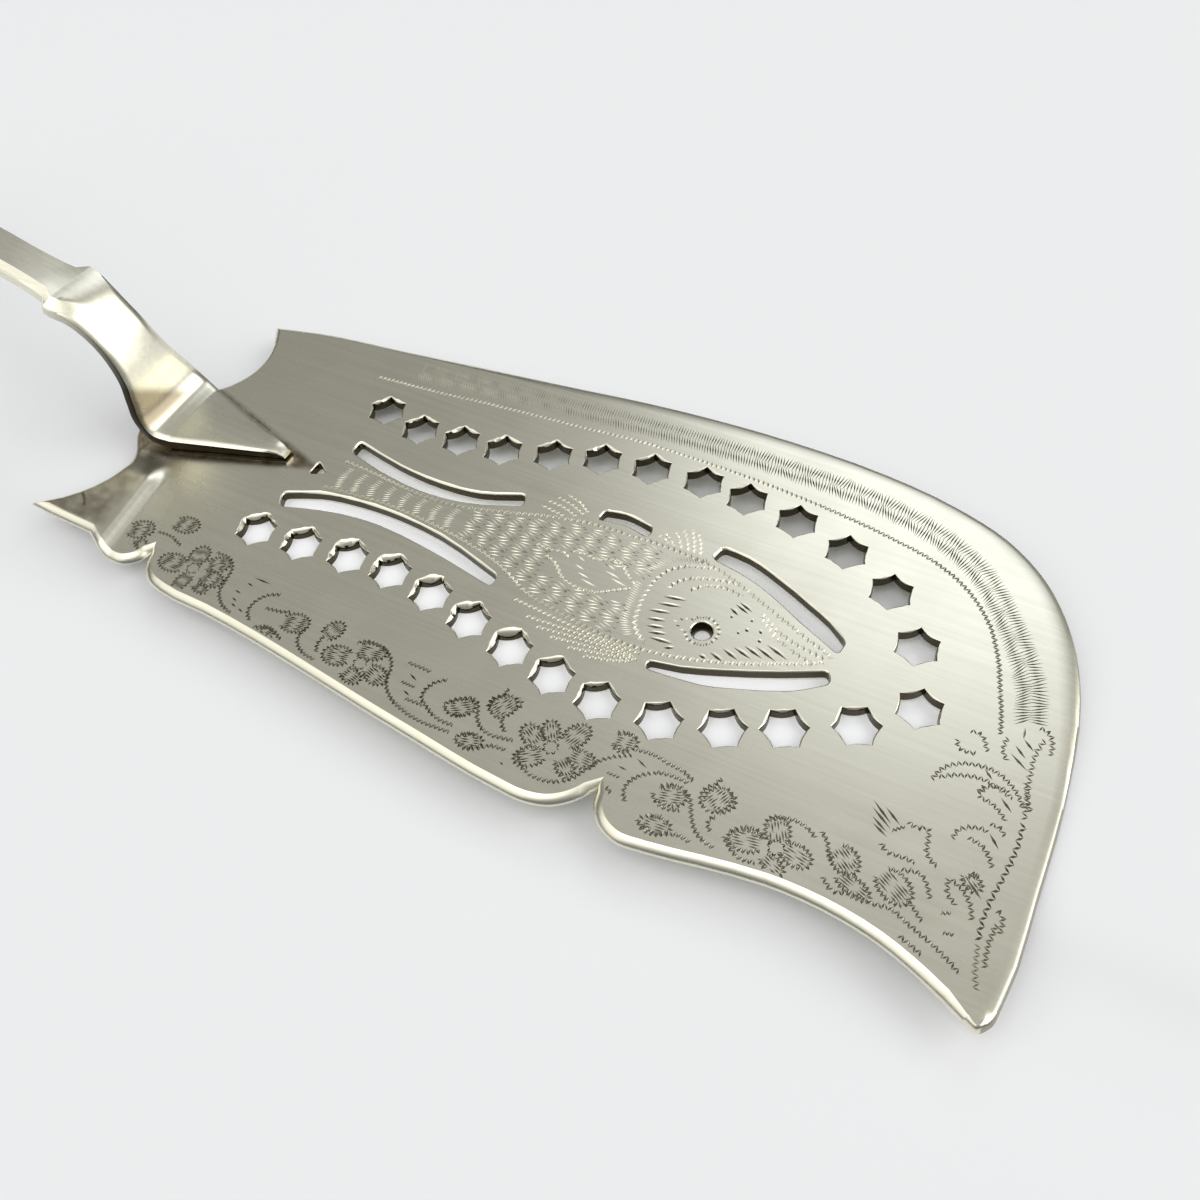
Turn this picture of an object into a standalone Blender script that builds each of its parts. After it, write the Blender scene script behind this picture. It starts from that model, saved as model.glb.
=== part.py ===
"""Fish slice: a pierced flat serving blade on a cranked strap handle with a fiddle end.

Lengths are in millimetres until the parts are placed. X runs from the handle towards the blade's
nose, Y across towards the blade's back edge and Z up from the table. The drawing starts at the
stem's root, where the handle leaves the blade, and the finished parts stand centred on the table.
"""

import math

import bmesh
import bpy
from mathutils import Vector

MM = 0.001

BLADE_REACH = 166.9     # stem root to nose
BLADE_WIDTH = 85.0
BLADE_THICK = 1.8
EDGE_RIM = 1.4          # bevel along the front edge and round the points
BACK_RIM = 3.6          # wide roll along the back edge and the nose
BACK_RIM_X = (4.0, 49.0)        # the roll widens between these, from the heel
BACK_RIM_Y = (-36.0, -8.0)      # and narrows again between these, round the nose
EDGE_ROUND = 0.9        # rounding of the underside, in from the edge

# The heel is bent up behind a line that crosses the blade a little askew.
HEEL_BEND_X = 2.4
HEEL_BEND_SKEW = 0.137
HEEL_BEND_ANGLE = 8.0
HEEL_BEND_LENGTH = 3.0

# The blade's edge, clockwise from the far heel point. Each run is one smooth curve, and the runs
# meet at the points, at the two cusped notches and at the small step in the wing.
BACK_EDGE = ((-2.3, 29.5), (8, 31.8), (26, 33.8), (58, 37.3), (84, 39.8), (106, 40.4), (123, 39.4),
             (136, 37), (146, 33.3), (154, 27.2), (160, 18.6), (164, 8), (166.1, -6), (166.9, -24),
             (166.8, -40), (166.2, -43.2), (164.8, -44.6), (162.8, -43.9))
NOSE_EDGE = ((162.8, -43.9), (156.6, -41.2), (150, -39.1), (142, -38), (134, -38.1), (125, -39.5),
             (117, -41), (112.3, -41.3), (109.2, -39.9), (107.3, -37.6), (106.6, -35))
FRONT_EDGE = ((106.6, -35), (104.6, -38), (101.6, -40.4), (97.5, -41.5), (93, -41.4), (75, -39.5),
              (31.5, -34.5), (21.6, -34), (18, -33), (15.5, -30.8), (14.4, -27.8))
HEEL_LOBE = ((14.4, -27.8), (13.4, -30.2), (11, -32), (8, -32.2), (5, -31.2), (2, -29.6))
WING_EDGE = ((2, -29.6), (-12, -29.3))
HEEL_EDGE = ((-12, -29.3), (-6.3, -23), (-3.3, -17.1), (-2.9, -14), (-4.2, -10.8), (-7, -7),
             (-8.4, -2), (-6.8, 3.5), (-3, 8.2), (0, 12), (1.7, 16.1), (1.9, 19.3), (1.3, 22.6),
             (-2.3, 29.5))

# Drain piercings in two rows, all from one six-pointed punch with hollow sides.
PUNCH_RADIUS = 3.7
PUNCH_HOLLOW = 0.38
PUNCH_CLEAR = 2.0       # how far a cutter stands out of the blade on each side
BACK_ROW = ((33.7, 17.7), (42.4, 15.9), (50.9, 16.5), (59.3, 17.5), (68.3, 20), (76.9, 22.6), (86, 24),
            (95.6, 24.8), (104, 24.2), (113.5, 23), (123.3, 20.1), (132.5, 15.3), (139.6, 7),
            (143.5, -3.4))
BACK_ROW_TURN = (-7, -22)
FRONT_ROW = ((29.2, -16.4), (38.6, -15.8), (47.8, -14.8), (56.4, -14.5), (65.2, -15.6), (73.9, -17.6),
             (82.8, -19.5), (91.4, -21.2), (99.9, -22.3), (109.9, -21.4), (119, -18.6), (127.1, -14.8),
             (136.4, -10))
FRONT_ROW_TURN = (-20, -34)

# Long piercings that draw the fish, each by its far side and its near side, left to right.
FISH_CUTS = (
    (((33.6, 8.9), (44, 6.8), (53, 6.2), (61, 7), (68.6, 9.9)),
     ((33.9, 6), (41.3, 4.2), (50.7, 3.1), (59, 3.8), (69.5, 7.3))),
    (((28.1, -7.3), (34.3, -4.7), (42.3, -3.4), (50.8, -3.2), (59.7, -4.1), (73.5, -7.8)),
     ((29.5, -10.2), (33.2, -9), (40.7, -7.2), (48.8, -6.6), (57.8, -7.4), (73.4, -10.1))),
    (((83, 12.2), (86.6, 12.9), (92.2, 12.1)),
     ((82.8, 9.9), (87.6, 10.6), (92.4, 9.8))),
    (((104.8, 13), (109.5, 12.6), (115.8, 10.5), (122, 7.8), (126, 5.9), (129.6, 3.3)),
     ((104, 10.1), (109.3, 9.2), (115.5, 7.1), (121.8, 4.1), (129.3, 0.7))),
    (((103.5, -12.4), (108.6, -11.4), (114.3, -9.4), (122.7, -5.9), (129.2, -2.7)),
     ((103.8, -13.9), (112.7, -13), (119.8, -10.7), (126.6, -7.6), (130.2, -4.8))),
)
EYE_CENTRE = (108.7, -3.9)
EYE_RADIUS = 1.75
NICK_LENGTH = 3.0       # three-cornered piercing ahead of the foot's point
NICK_WIDTH = 3.4
NICK_AHEAD = 5.6

FOOT_LENGTH = 24.0
FOOT_WIDTH = 16.6
FOOT_THICK = 2.7
FOOT_POINT_WIDTH = 1.8
FOOT_POINT_THICK = 0.65
SOLDER_THICK = 0.35
SOLDER_MARGIN = 0.5
SEAT_GAP = 0.1

STEM_RISE = 27.9        # blade's upper face to the shoulders
STEM_LEAN = 15.6        # stem root back to the shoulders
STEM_WAIST = 10.5
STEM_THICK = 2.5
SHOULDER_WIDTH = 12.2
SHAFT_LENGTH = 77.0
SHAFT_CLIMB = 15.2
SHAFT_WIDTH = 7.8
SHAFT_THICK = 3.3
FIDDLE_LENGTH = 60.4
FIDDLE_DROP = 5.4
FIDDLE_WIDTH = 21.4
FIDDLE_THICK = 2.4
STRAP_BEVEL = 2.0
STRAP_EASE = 0.3        # softened corners of the underside

# Side views as shares of length and height, with the width there. The stem's width goes from the
# foot's at 0 to the waist's at 1 and the shoulder's at 2, and the others are shares of their own.
STEM_CURVE = ((0.03, 0.15, 0), (0.12, 0.22, 0.07), (0.17, 0.32, 0.36), (0.22, 0.45, 0.72), (0.3, 0.58, 0.92),
              (0.4, 0.7, 1), (0.56, 0.82, 1), (0.74, 0.92, 1.4), (0.91, 0.98, 2), (1, 1, 2))
SHAFT_CURVE = ((0.02, 0.04, 1.13), (0.05, 0.09, 1.06), (0.23, 0.36, 1.03), (0.47, 0.66, 0.97),
               (0.73, 0.88, 1.01), (0.92, 0.97, 1.13), (1, 1, 1.33))
FIDDLE_CURVE = ((0.05, -0.02, 0.68), (0.1, -0.03, 0.78), (0.34, 0.02, 0.91), (0.59, 0.24, 1),
                (0.79, 0.56, 0.95), (0.9, 0.78, 0.78), (0.97, 0.93, 0.53), (1, 1, 0.23))


def smooth(knots, most_turn=7.0):
    """Points on a curve through the knots, closer where it turns. Knots may hold more than X and Y."""
    spans = [math.dist(a[:2], b[:2]) for a, b in zip(knots, knots[1:])]
    slopes = [tuple((q - p) / s for p, q in zip(a, b)) for a, b, s in zip(knots, knots[1:], spans)]
    tangents = [slopes[0]]
    for i in range(1, len(slopes)):
        before, after = spans[i - 1], spans[i]
        tangents.append(tuple((m * after + n * before) / (before + after)
                              for m, n in zip(slopes[i - 1], slopes[i])))
    tangents.append(slopes[-1])
    points = []
    for i, span in enumerate(spans):
        chord = Vector(slopes[i][:2])
        turn = sum(chord.angle(Vector(tangents[j][:2])) for j in (i, i + 1))
        pieces = max(1, round(math.degrees(turn) / most_turn))
        for k in range(pieces):
            t = k / pieces
            points.append(tuple(
                (1 + 2 * t) * (1 - t) ** 2 * p + t * (1 - t) ** 2 * span * m
                + t * t * (3 - 2 * t) * q - t * t * (1 - t) * span * n
                for p, q, m, n in zip(knots[i], knots[i + 1], tangents[i], tangents[i + 1])))
    return points + [tuple(knots[-1])]


def fade(value, low, high):
    t = min(max((value - low) / (high - low), 0.0), 1.0)
    return t * t * (3 - 2 * t)


def on_blade(points):
    """Drawn points stretched to the blade's reach and width. Behind the stem's root the length stays."""
    reach = BLADE_REACH / max(x for x, y in BACK_EDGE)
    width = BLADE_WIDTH / (max(y for x, y in BACK_EDGE) - min(y for x, y in BACK_EDGE))
    return [(x * reach if x > 0 else x, y * width) for x, y in points]


def behind_bend(x, y):
    return (HEEL_BEND_X - HEEL_BEND_SKEW * y - x) / math.hypot(1, HEEL_BEND_SKEW)


def heel_lift(x, y):
    """Height of the upturned heel: an arc at the bend, then a straight slope."""
    behind = max(0.0, behind_bend(x, y))
    on_arc = min(behind, HEEL_BEND_LENGTH)
    return math.tan(math.radians(HEEL_BEND_ANGLE)) * (on_arc ** 2 / (2 * HEEL_BEND_LENGTH) + behind - on_arc)


def blade_outline():
    """Points round the blade, each with the width of the rim there."""
    points = []
    for x, y in smooth(on_blade(BACK_EDGE))[:-1]:
        wide = fade(x, *BACK_RIM_X) * fade(y, *BACK_RIM_Y)
        points.append(Vector((x, y, EDGE_RIM + (BACK_RIM - EDGE_RIM) * wide)))
    for run in (NOSE_EDGE, FRONT_EDGE, HEEL_LOBE, WING_EDGE, HEEL_EDGE):
        points += [Vector((x, y, EDGE_RIM)) for x, y in smooth(on_blade(run))[:-1]]
    return points[::-1]


def inset(points, share):
    """The outline moved inwards by the distance that share() gives for each point's rim width."""
    moved = []
    for i, here in enumerate(points):
        along = (here - points[i - 1]).xy.normalized()
        on = (points[(i + 1) % len(points)] - here).xy.normalized()
        inward = Vector((-along.y - on.y, along.x + on.x)).normalized()
        reach = 1 / max(inward.dot(Vector((-on.y, on.x))), 0.3)
        if along.cross(on) < 0:
            reach = min(reach, 1.25)
        moved.append(here.xy + inward * share(here.z) * reach)
    return moved


def loft(mesh, rings):
    """One closed skin over a stack of rings with equal numbers of points, with a flat cap at each end."""
    rows = [[mesh.verts.new(point) for point in ring] for ring in rings]
    for low, high in zip(rows, rows[1:]):
        for i in range(len(low)):
            j = (i + 1) % len(low)
            mesh.faces.new((low[i], low[j], high[j], high[i]))
    mesh.faces.new(rows[0][::-1])
    mesh.faces.new(rows[-1])


def blade_mesh():
    outline = blade_outline()
    levels = (
        (0.0, lambda rim: EDGE_ROUND),
        (0.14, lambda rim: 0.3 * EDGE_ROUND),
        (0.39, lambda rim: 0.0),
        (0.64, lambda rim: 0.15 * rim),
        (0.88, lambda rim: 0.5 * rim),
        (1.0, lambda rim: rim),
    )
    mesh = bmesh.new()
    loft(mesh, [[(p.x, p.y, level * BLADE_THICK) for p in inset(outline, share)] for level, share in levels])
    across = Vector((1, HEEL_BEND_SKEW, 0)).normalized()
    for share in (0, 1 / 3, 2 / 3, 1):
        geometry = mesh.verts[:] + mesh.edges[:] + mesh.faces[:]
        middle = Vector((HEEL_BEND_X, 0, 0)) - across * HEEL_BEND_LENGTH * share
        bmesh.ops.bisect_plane(mesh, geom=geometry, dist=0.001, plane_co=middle, plane_no=across)
    for vertex in mesh.verts:
        vertex.co.z += heel_lift(vertex.co.x, vertex.co.y)
    return mesh


def punch(mesh, outline):
    loft(mesh, [[(x, y, z) for x, y in outline] for z in (-PUNCH_CLEAR, BLADE_THICK + PUNCH_CLEAR)])


def star(centre, turn):
    """Outline of the six-pointed punch, with three facets to each hollow side."""
    points = []
    for side in range(6):
        ends = [Vector((math.cos(a), math.sin(a))) * PUNCH_RADIUS
                for a in (math.radians(turn + 60 * side), math.radians(turn + 60 * side + 60))]
        inward = -(ends[0] + ends[1]).normalized() * PUNCH_HOLLOW
        for t in (0, 1 / 3, 2 / 3):
            point = ends[0].lerp(ends[1], t) + inward * 4 * t * (1 - t)
            points.append((centre[0] + point.x, centre[1] + point.y))
    return points


def piercing_mesh():
    mesh = bmesh.new()
    for row, (first, last) in ((BACK_ROW, BACK_ROW_TURN), (FRONT_ROW, FRONT_ROW_TURN)):
        for i, centre in enumerate(on_blade(row)):
            punch(mesh, star(centre, first + (last - first) * i / (len(row) - 1)))
    for far, near in FISH_CUTS:
        punch(mesh, smooth(on_blade(near)) + smooth(on_blade(far))[::-1])
    eye = Vector(on_blade([EYE_CENTRE])[0])
    ring = [math.radians(15 * i) for i in range(24)]
    punch(mesh, [eye + EYE_RADIUS * Vector((math.cos(a), math.sin(a))) for a in ring])
    nick = FOOT_LENGTH + NICK_AHEAD
    punch(mesh, ((nick, -NICK_WIDTH / 2), (nick + NICK_LENGTH, -0.1 * NICK_WIDTH), (nick, NICK_WIDTH / 2)))
    return mesh


def foot_half(x):
    return (FOOT_WIDTH + (FOOT_POINT_WIDTH - FOOT_WIDTH) * x / FOOT_LENGTH) / 2


def solder_mesh():
    """The layer of hard solder under the foot, with the fillet that shows round it."""
    back, point = 2.0, FOOT_LENGTH
    rings = []
    for z, margin in ((SEAT_GAP, SOLDER_MARGIN), (SEAT_GAP + SOLDER_THICK, 0.3 * SOLDER_MARGIN)):
        wide, narrow = foot_half(back) + margin, foot_half(point) + 0.5 * margin
        outline = ((back, -wide), (point + margin, -narrow), (point + margin, narrow), (back, wide))
        rings.append([(x, y, BLADE_THICK + z) for x, y in outline])
    mesh = bmesh.new()
    loft(mesh, rings)
    return mesh


def strap_stations():
    """X, height of the upper face above the blade, width and thickness, from the foot's point to the end."""
    seat = SOLDER_THICK + 2 * SEAT_GAP
    foot = []
    for x in (FOOT_LENGTH - 0.6, 0.66 * FOOT_LENGTH, 0.33 * FOOT_LENGTH, 0.1 * FOOT_LENGTH):
        thick = FOOT_THICK + (FOOT_POINT_THICK - FOOT_THICK) * x / FOOT_LENGTH
        foot.append((x, seat + thick, 2 * foot_half(x), thick))
    stem = []
    for lean, rise, wide in STEM_CURVE:
        width = FOOT_WIDTH + (STEM_WAIST - FOOT_WIDTH) * min(wide, 1)
        width += (SHOULDER_WIDTH - STEM_WAIST) * max(wide - 1, 0)
        thick = STEM_THICK + (SHAFT_THICK - STEM_THICK) * max(wide - 1, 0) * 0.7
        stem.append((-lean * STEM_LEAN, rise * STEM_RISE, width, thick))
    shaft = [(-STEM_LEAN - far * SHAFT_LENGTH, STEM_RISE + climb * SHAFT_CLIMB, wide * SHAFT_WIDTH,
              SHAFT_THICK) for far, climb, wide in SHAFT_CURVE]
    end, top = STEM_LEAN + SHAFT_LENGTH, STEM_RISE + SHAFT_CLIMB
    fiddle = [(-end - far * FIDDLE_LENGTH, top - drop * FIDDLE_DROP, wide * FIDDLE_WIDTH,
               SHAFT_THICK + (FIDDLE_THICK - SHAFT_THICK) * min(1, 0.3 + far))
              for far, drop, wide in FIDDLE_CURVE]
    return foot[:3] + smooth(foot[3:] + stem, 9) + smooth(shaft + fiddle, 6)


def handle_mesh():
    stations = strap_stations()
    rings = []
    for i, (x, z, width, thick) in enumerate(stations):
        before, after = stations[max(i - 1, 0)], stations[min(i + 1, len(stations) - 1)]
        back = Vector((after[0] - before[0], after[1] - before[1])).normalized()
        up = Vector((back.y, -back.x)) if i > 2 else Vector((0, 1))
        half, drop = width / 2, 0.4 * min(thick, 2.2)
        bevel, ease = min(STRAP_BEVEL, 0.55 * half), min(STRAP_EASE, 0.4 * thick)
        right = ((half - ease, -thick), (half, ease - thick), (half, -drop), (half - bevel, -0.2 * drop))
        section = [(-y, n) for y, n in right] + [(0, 0)] + list(right[::-1])
        rings.append([(x + n * up.x, y, BLADE_THICK + z + n * up.y) for y, n in section])
    mesh = bmesh.new()
    loft(mesh, rings)
    return mesh


def add_part(name, mesh, collection, colour=None, roughness=0.3):
    bmesh.ops.recalc_face_normals(mesh, faces=mesh.faces)
    data = bpy.data.meshes.new(name)
    mesh.to_mesh(data)
    mesh.free()
    part = bpy.data.objects.new(name, data)
    collection.objects.link(part)
    if colour:
        material = bpy.data.materials.new(name)
        material.use_nodes = True
        shader = material.node_tree.nodes["Principled BSDF"]
        shader.inputs["Base Color"].default_value = (*colour, 1)
        shader.inputs["Metallic"].default_value = 1
        shader.inputs["Roughness"].default_value = roughness
        data.materials.append(material)
    return part


def stand_on_table(parts, helpers):
    """Stands the parts' box centred on the origin, and turns millimetres to metres."""
    corners = [vertex.co for part in parts for vertex in part.data.vertices]
    low = Vector([min(c[axis] for c in corners) for axis in range(3)])
    high = Vector([max(c[axis] for c in corners) for axis in range(3)])
    base = Vector(((low.x + high.x) / 2, (low.y + high.y) / 2, low.z))
    for item in parts + helpers:
        for vertex in item.data.vertices:
            vertex.co = (vertex.co - base) * MM


for item in list(bpy.data.objects):
    bpy.data.objects.remove(item, do_unlink=True)

parts_collection = bpy.data.collections.new("fish_slice")
cutters_collection = bpy.data.collections.new("cutters")
for collection in (parts_collection, cutters_collection):
    bpy.context.scene.collection.children.link(collection)

blade = add_part("blade", blade_mesh(), parts_collection, (0.72, 0.69, 0.61), 0.28)
handle = add_part("handle", handle_mesh(), parts_collection, (0.74, 0.71, 0.64), 0.22)
solder = add_part("solder_seam", solder_mesh(), parts_collection, (0.55, 0.46, 0.33), 0.4)
piercings = add_part("piercings", piercing_mesh(), cutters_collection)
piercings.hide_render = True
piercings.display_type = "WIRE"

stand_on_table([blade, handle, solder], [piercings])

cut = blade.modifiers.new("piercings", "BOOLEAN")
cut.operation = "DIFFERENCE"
cut.solver = "EXACT"
cut.object = piercings
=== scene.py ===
import math
import random

import bmesh
import bpy
import numpy as np
from mathutils import Matrix, Vector
from mathutils.geometry import delaunay_2d_cdt


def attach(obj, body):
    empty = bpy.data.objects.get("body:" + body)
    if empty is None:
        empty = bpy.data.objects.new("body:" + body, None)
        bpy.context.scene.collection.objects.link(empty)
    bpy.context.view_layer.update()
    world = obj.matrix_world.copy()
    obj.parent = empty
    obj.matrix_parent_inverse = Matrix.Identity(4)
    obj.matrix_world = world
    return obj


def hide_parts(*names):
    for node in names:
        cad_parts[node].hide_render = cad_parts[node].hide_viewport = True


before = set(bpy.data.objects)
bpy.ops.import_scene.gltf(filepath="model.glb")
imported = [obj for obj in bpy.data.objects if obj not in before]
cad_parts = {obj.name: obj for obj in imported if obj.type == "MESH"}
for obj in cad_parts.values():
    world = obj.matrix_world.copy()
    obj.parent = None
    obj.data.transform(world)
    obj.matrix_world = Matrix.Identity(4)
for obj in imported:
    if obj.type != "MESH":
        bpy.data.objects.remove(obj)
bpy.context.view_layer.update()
print("frame loaded:", ", ".join(sorted(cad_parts)))

mm = 0.001
drawing = {"originX": 6.95, "originY": -2.1027}    # the part's origin, measured from the stem's root


def place(x, y, z):
    return Vector(((x - drawing["originX"]) * mm, (y - drawing["originY"]) * mm, z * mm))


# From 0 at low to 1 at high, softly.
def fade(value, low, high):
    t = min(max((value - low) / (high - low), 0.0), 1.0)
    return t * t * (3 - 2 * t)


def between(first, last, share):
    return first + (last - first) * share


def towards(angle):
    return Vector((math.cos(angle), math.sin(angle)))


def leftOf(way):
    return Vector((-way.y, way.x))


# How far a moved outline may run out at its corners, how close points are merged, in a flat sheet too,
# and from which normal on a face counts as level.
meshing = {"cornerLeast": 0.3, "outerCorner": 1.25, "merge": 5e-7, "sheetMerge": 1e-3, "level": 0.99999}


# Points on a smooth curve through the knots, closer where it turns.
def throughKnots(knots, mostTurn=3.0, mostStep=6.0):
    spans = [math.dist(a[:2], b[:2]) for a, b in zip(knots, knots[1:])]
    slopes = [[(q - p) / s for p, q in zip(a, b)] for a, b, s in zip(knots, knots[1:], spans)]
    tangents = [slopes[0]]
    for i in range(1, len(slopes)):
        before, after = spans[i - 1], spans[i]
        both = zip(slopes[i - 1], slopes[i])
        tangents.append([(m * after + n * before) / (before + after) for m, n in both])
    tangents.append(slopes[-1])
    points = []
    for i, span in enumerate(spans):
        chord = Vector(slopes[i][:2])
        turn = sum(chord.angle(Vector(tangents[j][:2])) for j in (i, i + 1))
        pieces = max(1, round(math.degrees(turn) / mostTurn), math.ceil(span / mostStep))
        for k in range(pieces):
            t = k / pieces
            points.append(tuple(
                (1 + 2 * t) * (1 - t) ** 2 * p + t * (1 - t) ** 2 * span * m
                + t * t * (3 - 2 * t) * q - t * t * (1 - t) * span * n
                for p, q, m, n in zip(knots[i], knots[i + 1], tangents[i], tangents[i + 1])))
    return points + [tuple(knots[-1])]


# A closed outline moved inwards, by each point's own distance. It runs anticlockwise.
def movedIn(loop, distances):
    moved = []
    for i, here in enumerate(loop):
        here = Vector(here)
        along = (here - Vector(loop[i - 1])).normalized()
        on = (Vector(loop[(i + 1) % len(loop)]) - here).normalized()
        inward = Vector((-along.y - on.y, along.x + on.x)).normalized()
        reach = 1 / max(inward.dot(leftOf(on)), meshing["cornerLeast"])
        if along.cross(on) * distances[i] < 0:
            reach = min(reach, meshing["outerCorner"])
        moved.append(here + inward * distances[i] * reach)
    return moved


# A circle is laid on the first ring, and its edge is extruded from ring to ring.
def ringStack(name, rings, capped=False):
    bpy.ops.object.select_all(action="DESELECT")
    bpy.ops.mesh.primitive_circle_add(vertices=len(rings[0]))
    piece = bpy.context.active_object
    piece.name = piece.data.name = name
    bpy.ops.object.mode_set(mode="EDIT")
    bpy.ops.mesh.select_all(action="SELECT")
    mesh = bmesh.from_edit_mesh(piece.data)
    order = mesh.verts.layers.int.new("order")
    for i, vertex in enumerate(mesh.verts):
        vertex[order] = i
    for level, ring in enumerate(rings):
        if level:
            bpy.ops.mesh.extrude_edges_move()
        mesh = bmesh.from_edit_mesh(piece.data)
        order = mesh.verts.layers.int["order"]
        for vertex in mesh.verts:
            if vertex.select:
                vertex.co = ring[vertex[order]]
        bmesh.update_edit_mesh(piece.data)
        if capped and level in (0, len(rings) - 1):
            bpy.ops.mesh.edge_face_add()
    bpy.ops.object.mode_set(mode="OBJECT")
    piece.data.attributes.remove(piece.data.attributes["order"])
    return piece


def activate(pieces):
    bpy.ops.object.select_all(action="DESELECT")
    for piece in pieces:
        piece.select_set(True)
    bpy.context.view_layer.objects.active = pieces[0]


def finished(piece, smoothAngle):
    activate([piece])
    bpy.ops.object.mode_set(mode="EDIT")
    bpy.ops.mesh.select_all(action="SELECT")
    bpy.ops.mesh.remove_doubles(threshold=meshing["merge"])
    bpy.ops.mesh.normals_make_consistent(inside=False)
    bpy.ops.mesh.select_all(action="DESELECT")
    bpy.ops.object.mode_set(mode="OBJECT")
    bpy.ops.object.shade_smooth_by_angle(angle=math.radians(smoothAngle))
    # flat faces decide the shading at their edges, so that a roll beside them doesn't cloud them
    flat = [abs(face.normal.z) > meshing["level"] for face in piece.data.polygons]
    piece.data.polygons.foreach_set("select", flat)
    bpy.ops.object.mode_set(mode="EDIT")
    bpy.ops.mesh.mod_weighted_strength(set=True, face_strength="STRONG")
    bpy.ops.object.mode_set(mode="OBJECT")
    bpy.ops.object.modifier_add(type="WEIGHTED_NORMAL")
    weighted = piece.modifiers[-1]
    weighted.keep_sharp, weighted.use_face_influence = True, True
    bpy.ops.object.modifier_apply(modifier=weighted.name)
    return piece


# Each face carries its own darkness, which the silver's material reads: in the cuts, and painted shade on
# walls, edges and sides.
def setPatinaAndShade(data, shades):
    data.attributes.new("patinaAndShade", "FLOAT", "FACE").data.foreach_set("value", shades)


bladeShape = {
    "thick": 1.8, "smooth": 16,
    "edgeRim": 1.4,                 # bevel along the front edge and round the points
    "backRim": 3.6,                 # wide roll along the back edge and the nose
    "backRimX": (20, 96),           # the roll widens between these, from the heel
    "backRimY": (-10, 12), "noseRim": 2.2,      # and narrows to this between these, round the nose
    "rollY": (-44.5, -41),          # it ends between these, by the nose's point
    "edgeShadeX": 158, "edgeShadeNormal": 0.6, "edgeShadeShare": 0.6,      # the nose's steep side is painted dark, a painted shadow along its edge
    "tip": (164.8, -44.6), "tipNear": (1, 5), "tipRim": 0.5,       # the rim narrows round the nose's point
    "pointClear": 3.9,              # no outline points this close to a sharp point
    "bendX": 2.4, "bendSkew": 0.137, "bendAngle": 8, "bendLength": 3,
    # lines laid along the bend: over which sixths of its length, then from, to and step along it, and margin
    "bendLines": (-4, 13), "bendParts": 6, "bendAcross": (-31, 32, 0.5), "bendClear": 0.3,
    # the bend is sharper beside the wing: its rise, and where behind the bend that is reached and gone again
    "kink": (1.25, 2.8, 17), "kinkX": 1.6, "kinkY": (10, 16),
    "backEdge": ((-2.3, 29.5), (8, 31.8), (26, 33.8), (58, 37.3), (84, 39.8), (106, 40.4), (123, 39.4),
                 (136, 37), (146, 33.3), (154, 27.2), (160, 18.6), (164, 8), (166.1, -6), (166.9, -24),
                 (166.8, -40), (166.2, -43.2), (164.8, -44.6), (162.8, -43.9)),
    "noseEdge": ((162.8, -43.9), (156.6, -41.2), (150, -39.1), (142, -38), (134, -38.1), (125, -39.5),
                 (117, -41), (112.3, -41.3), (109.2, -39.9), (107.3, -37.6), (106.6, -35)),
    "frontEdge": ((106.6, -35), (104.6, -38), (101.6, -40.4), (97.5, -41.5), (93, -41.4), (75, -39.5),
                  (31.5, -34.5), (21.6, -34), (18, -33), (15.5, -30.8), (14.4, -27.8)),
    "heelLobe": ((14.4, -27.8), (13.4, -30.2), (11, -32), (8, -32.2), (5, -31.2), (2, -29.6)),
    "wingEdge": ((2, -29.6), (-12, -29.3)),
    "heelEdge": ((-12, -29.3), (-6.3, -23), (-3.3, -17.1), (-2.9, -14), (-4.2, -10.8), (-7, -7), (-8.4, -2),
                 (-6.8, 3.5), (-3, 8.2), (0, 12), (1.7, 16.1), (1.9, 19.3), (1.3, 22.6), (-2.3, 29.5)),
    "sharpPoints": ((-2.3, 29.5), (-12, -29.3)),
    # sections through the edge: share of the thickness, then share of the rim's width
    "underEdge": ((0, 0.64), (0.02, 0.4), (0.08, 0.2), (0.18, 0.06)),
    "bevel": ((0.34, 0), (0.48, 0.08), (0.61, 0.2), (0.73, 0.36), (0.83, 0.53), (0.905, 0.7), (0.964, 0.86),
              (1, 1)),
    "roll": ((0.33, 0), (0.5, 0.015), (0.64, 0.045), (0.75, 0.09), (0.825, 0.17), (0.885, 0.32),
             (0.95, 0.58), (1, 1)),
    "noseRoll": (0, 0.03, 0.07, 0.11, 0.15, 0.21, 0.4, 1),      # at the same heights, round the nose
}


# How far the blade is bent up at a place on its heel.
def heelLift(x, y):
    skew, length = bladeShape["bendSkew"], bladeShape["bendLength"]
    behind = max(0.0, (bladeShape["bendX"] - skew * y - x) / math.hypot(1, skew))
    onArc = min(behind, length)
    lift = math.tan(math.radians(bladeShape["bendAngle"])) * (onArc ** 2 / (2 * length) + behind - onArc)
    rise, run, gone = bladeShape["kink"]
    past = max(0.0, (bladeShape["kinkX"] + bladeShape["bendX"] - skew * y - x) / math.hypot(1, skew))
    sharp = rise * fade(past, 0, run) * (1 - fade(past, run, gone))
    return lift + sharp * fade(-y, *bladeShape["kinkY"])


def bladePoint(point, z):
    return place(point[0], point[1], z + heelLift(point[0], point[1]))


# The outline's points, each with how far its edge is rolled, and a value from 0 at the nose to 1 at the back.
def bladeOutline():
    points = []
    for run in ("backEdge", "noseEdge", "frontEdge", "heelLobe", "wingEdge", "heelEdge"):
        for x, y in throughKnots(bladeShape[run])[:-1]:
            clear = min(math.dist((x, y), tip) for tip in bladeShape["sharpPoints"])
            if clear > bladeShape["pointClear"] or (x, y) in bladeShape["sharpPoints"]:
                rolled = fade(x, *bladeShape["backRimX"]) * fade(y, *bladeShape["rollY"])
                points.append((x, y, rolled if run == "backEdge" else 0.0, fade(y, *bladeShape["backRimY"])))
    return points[::-1]


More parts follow.
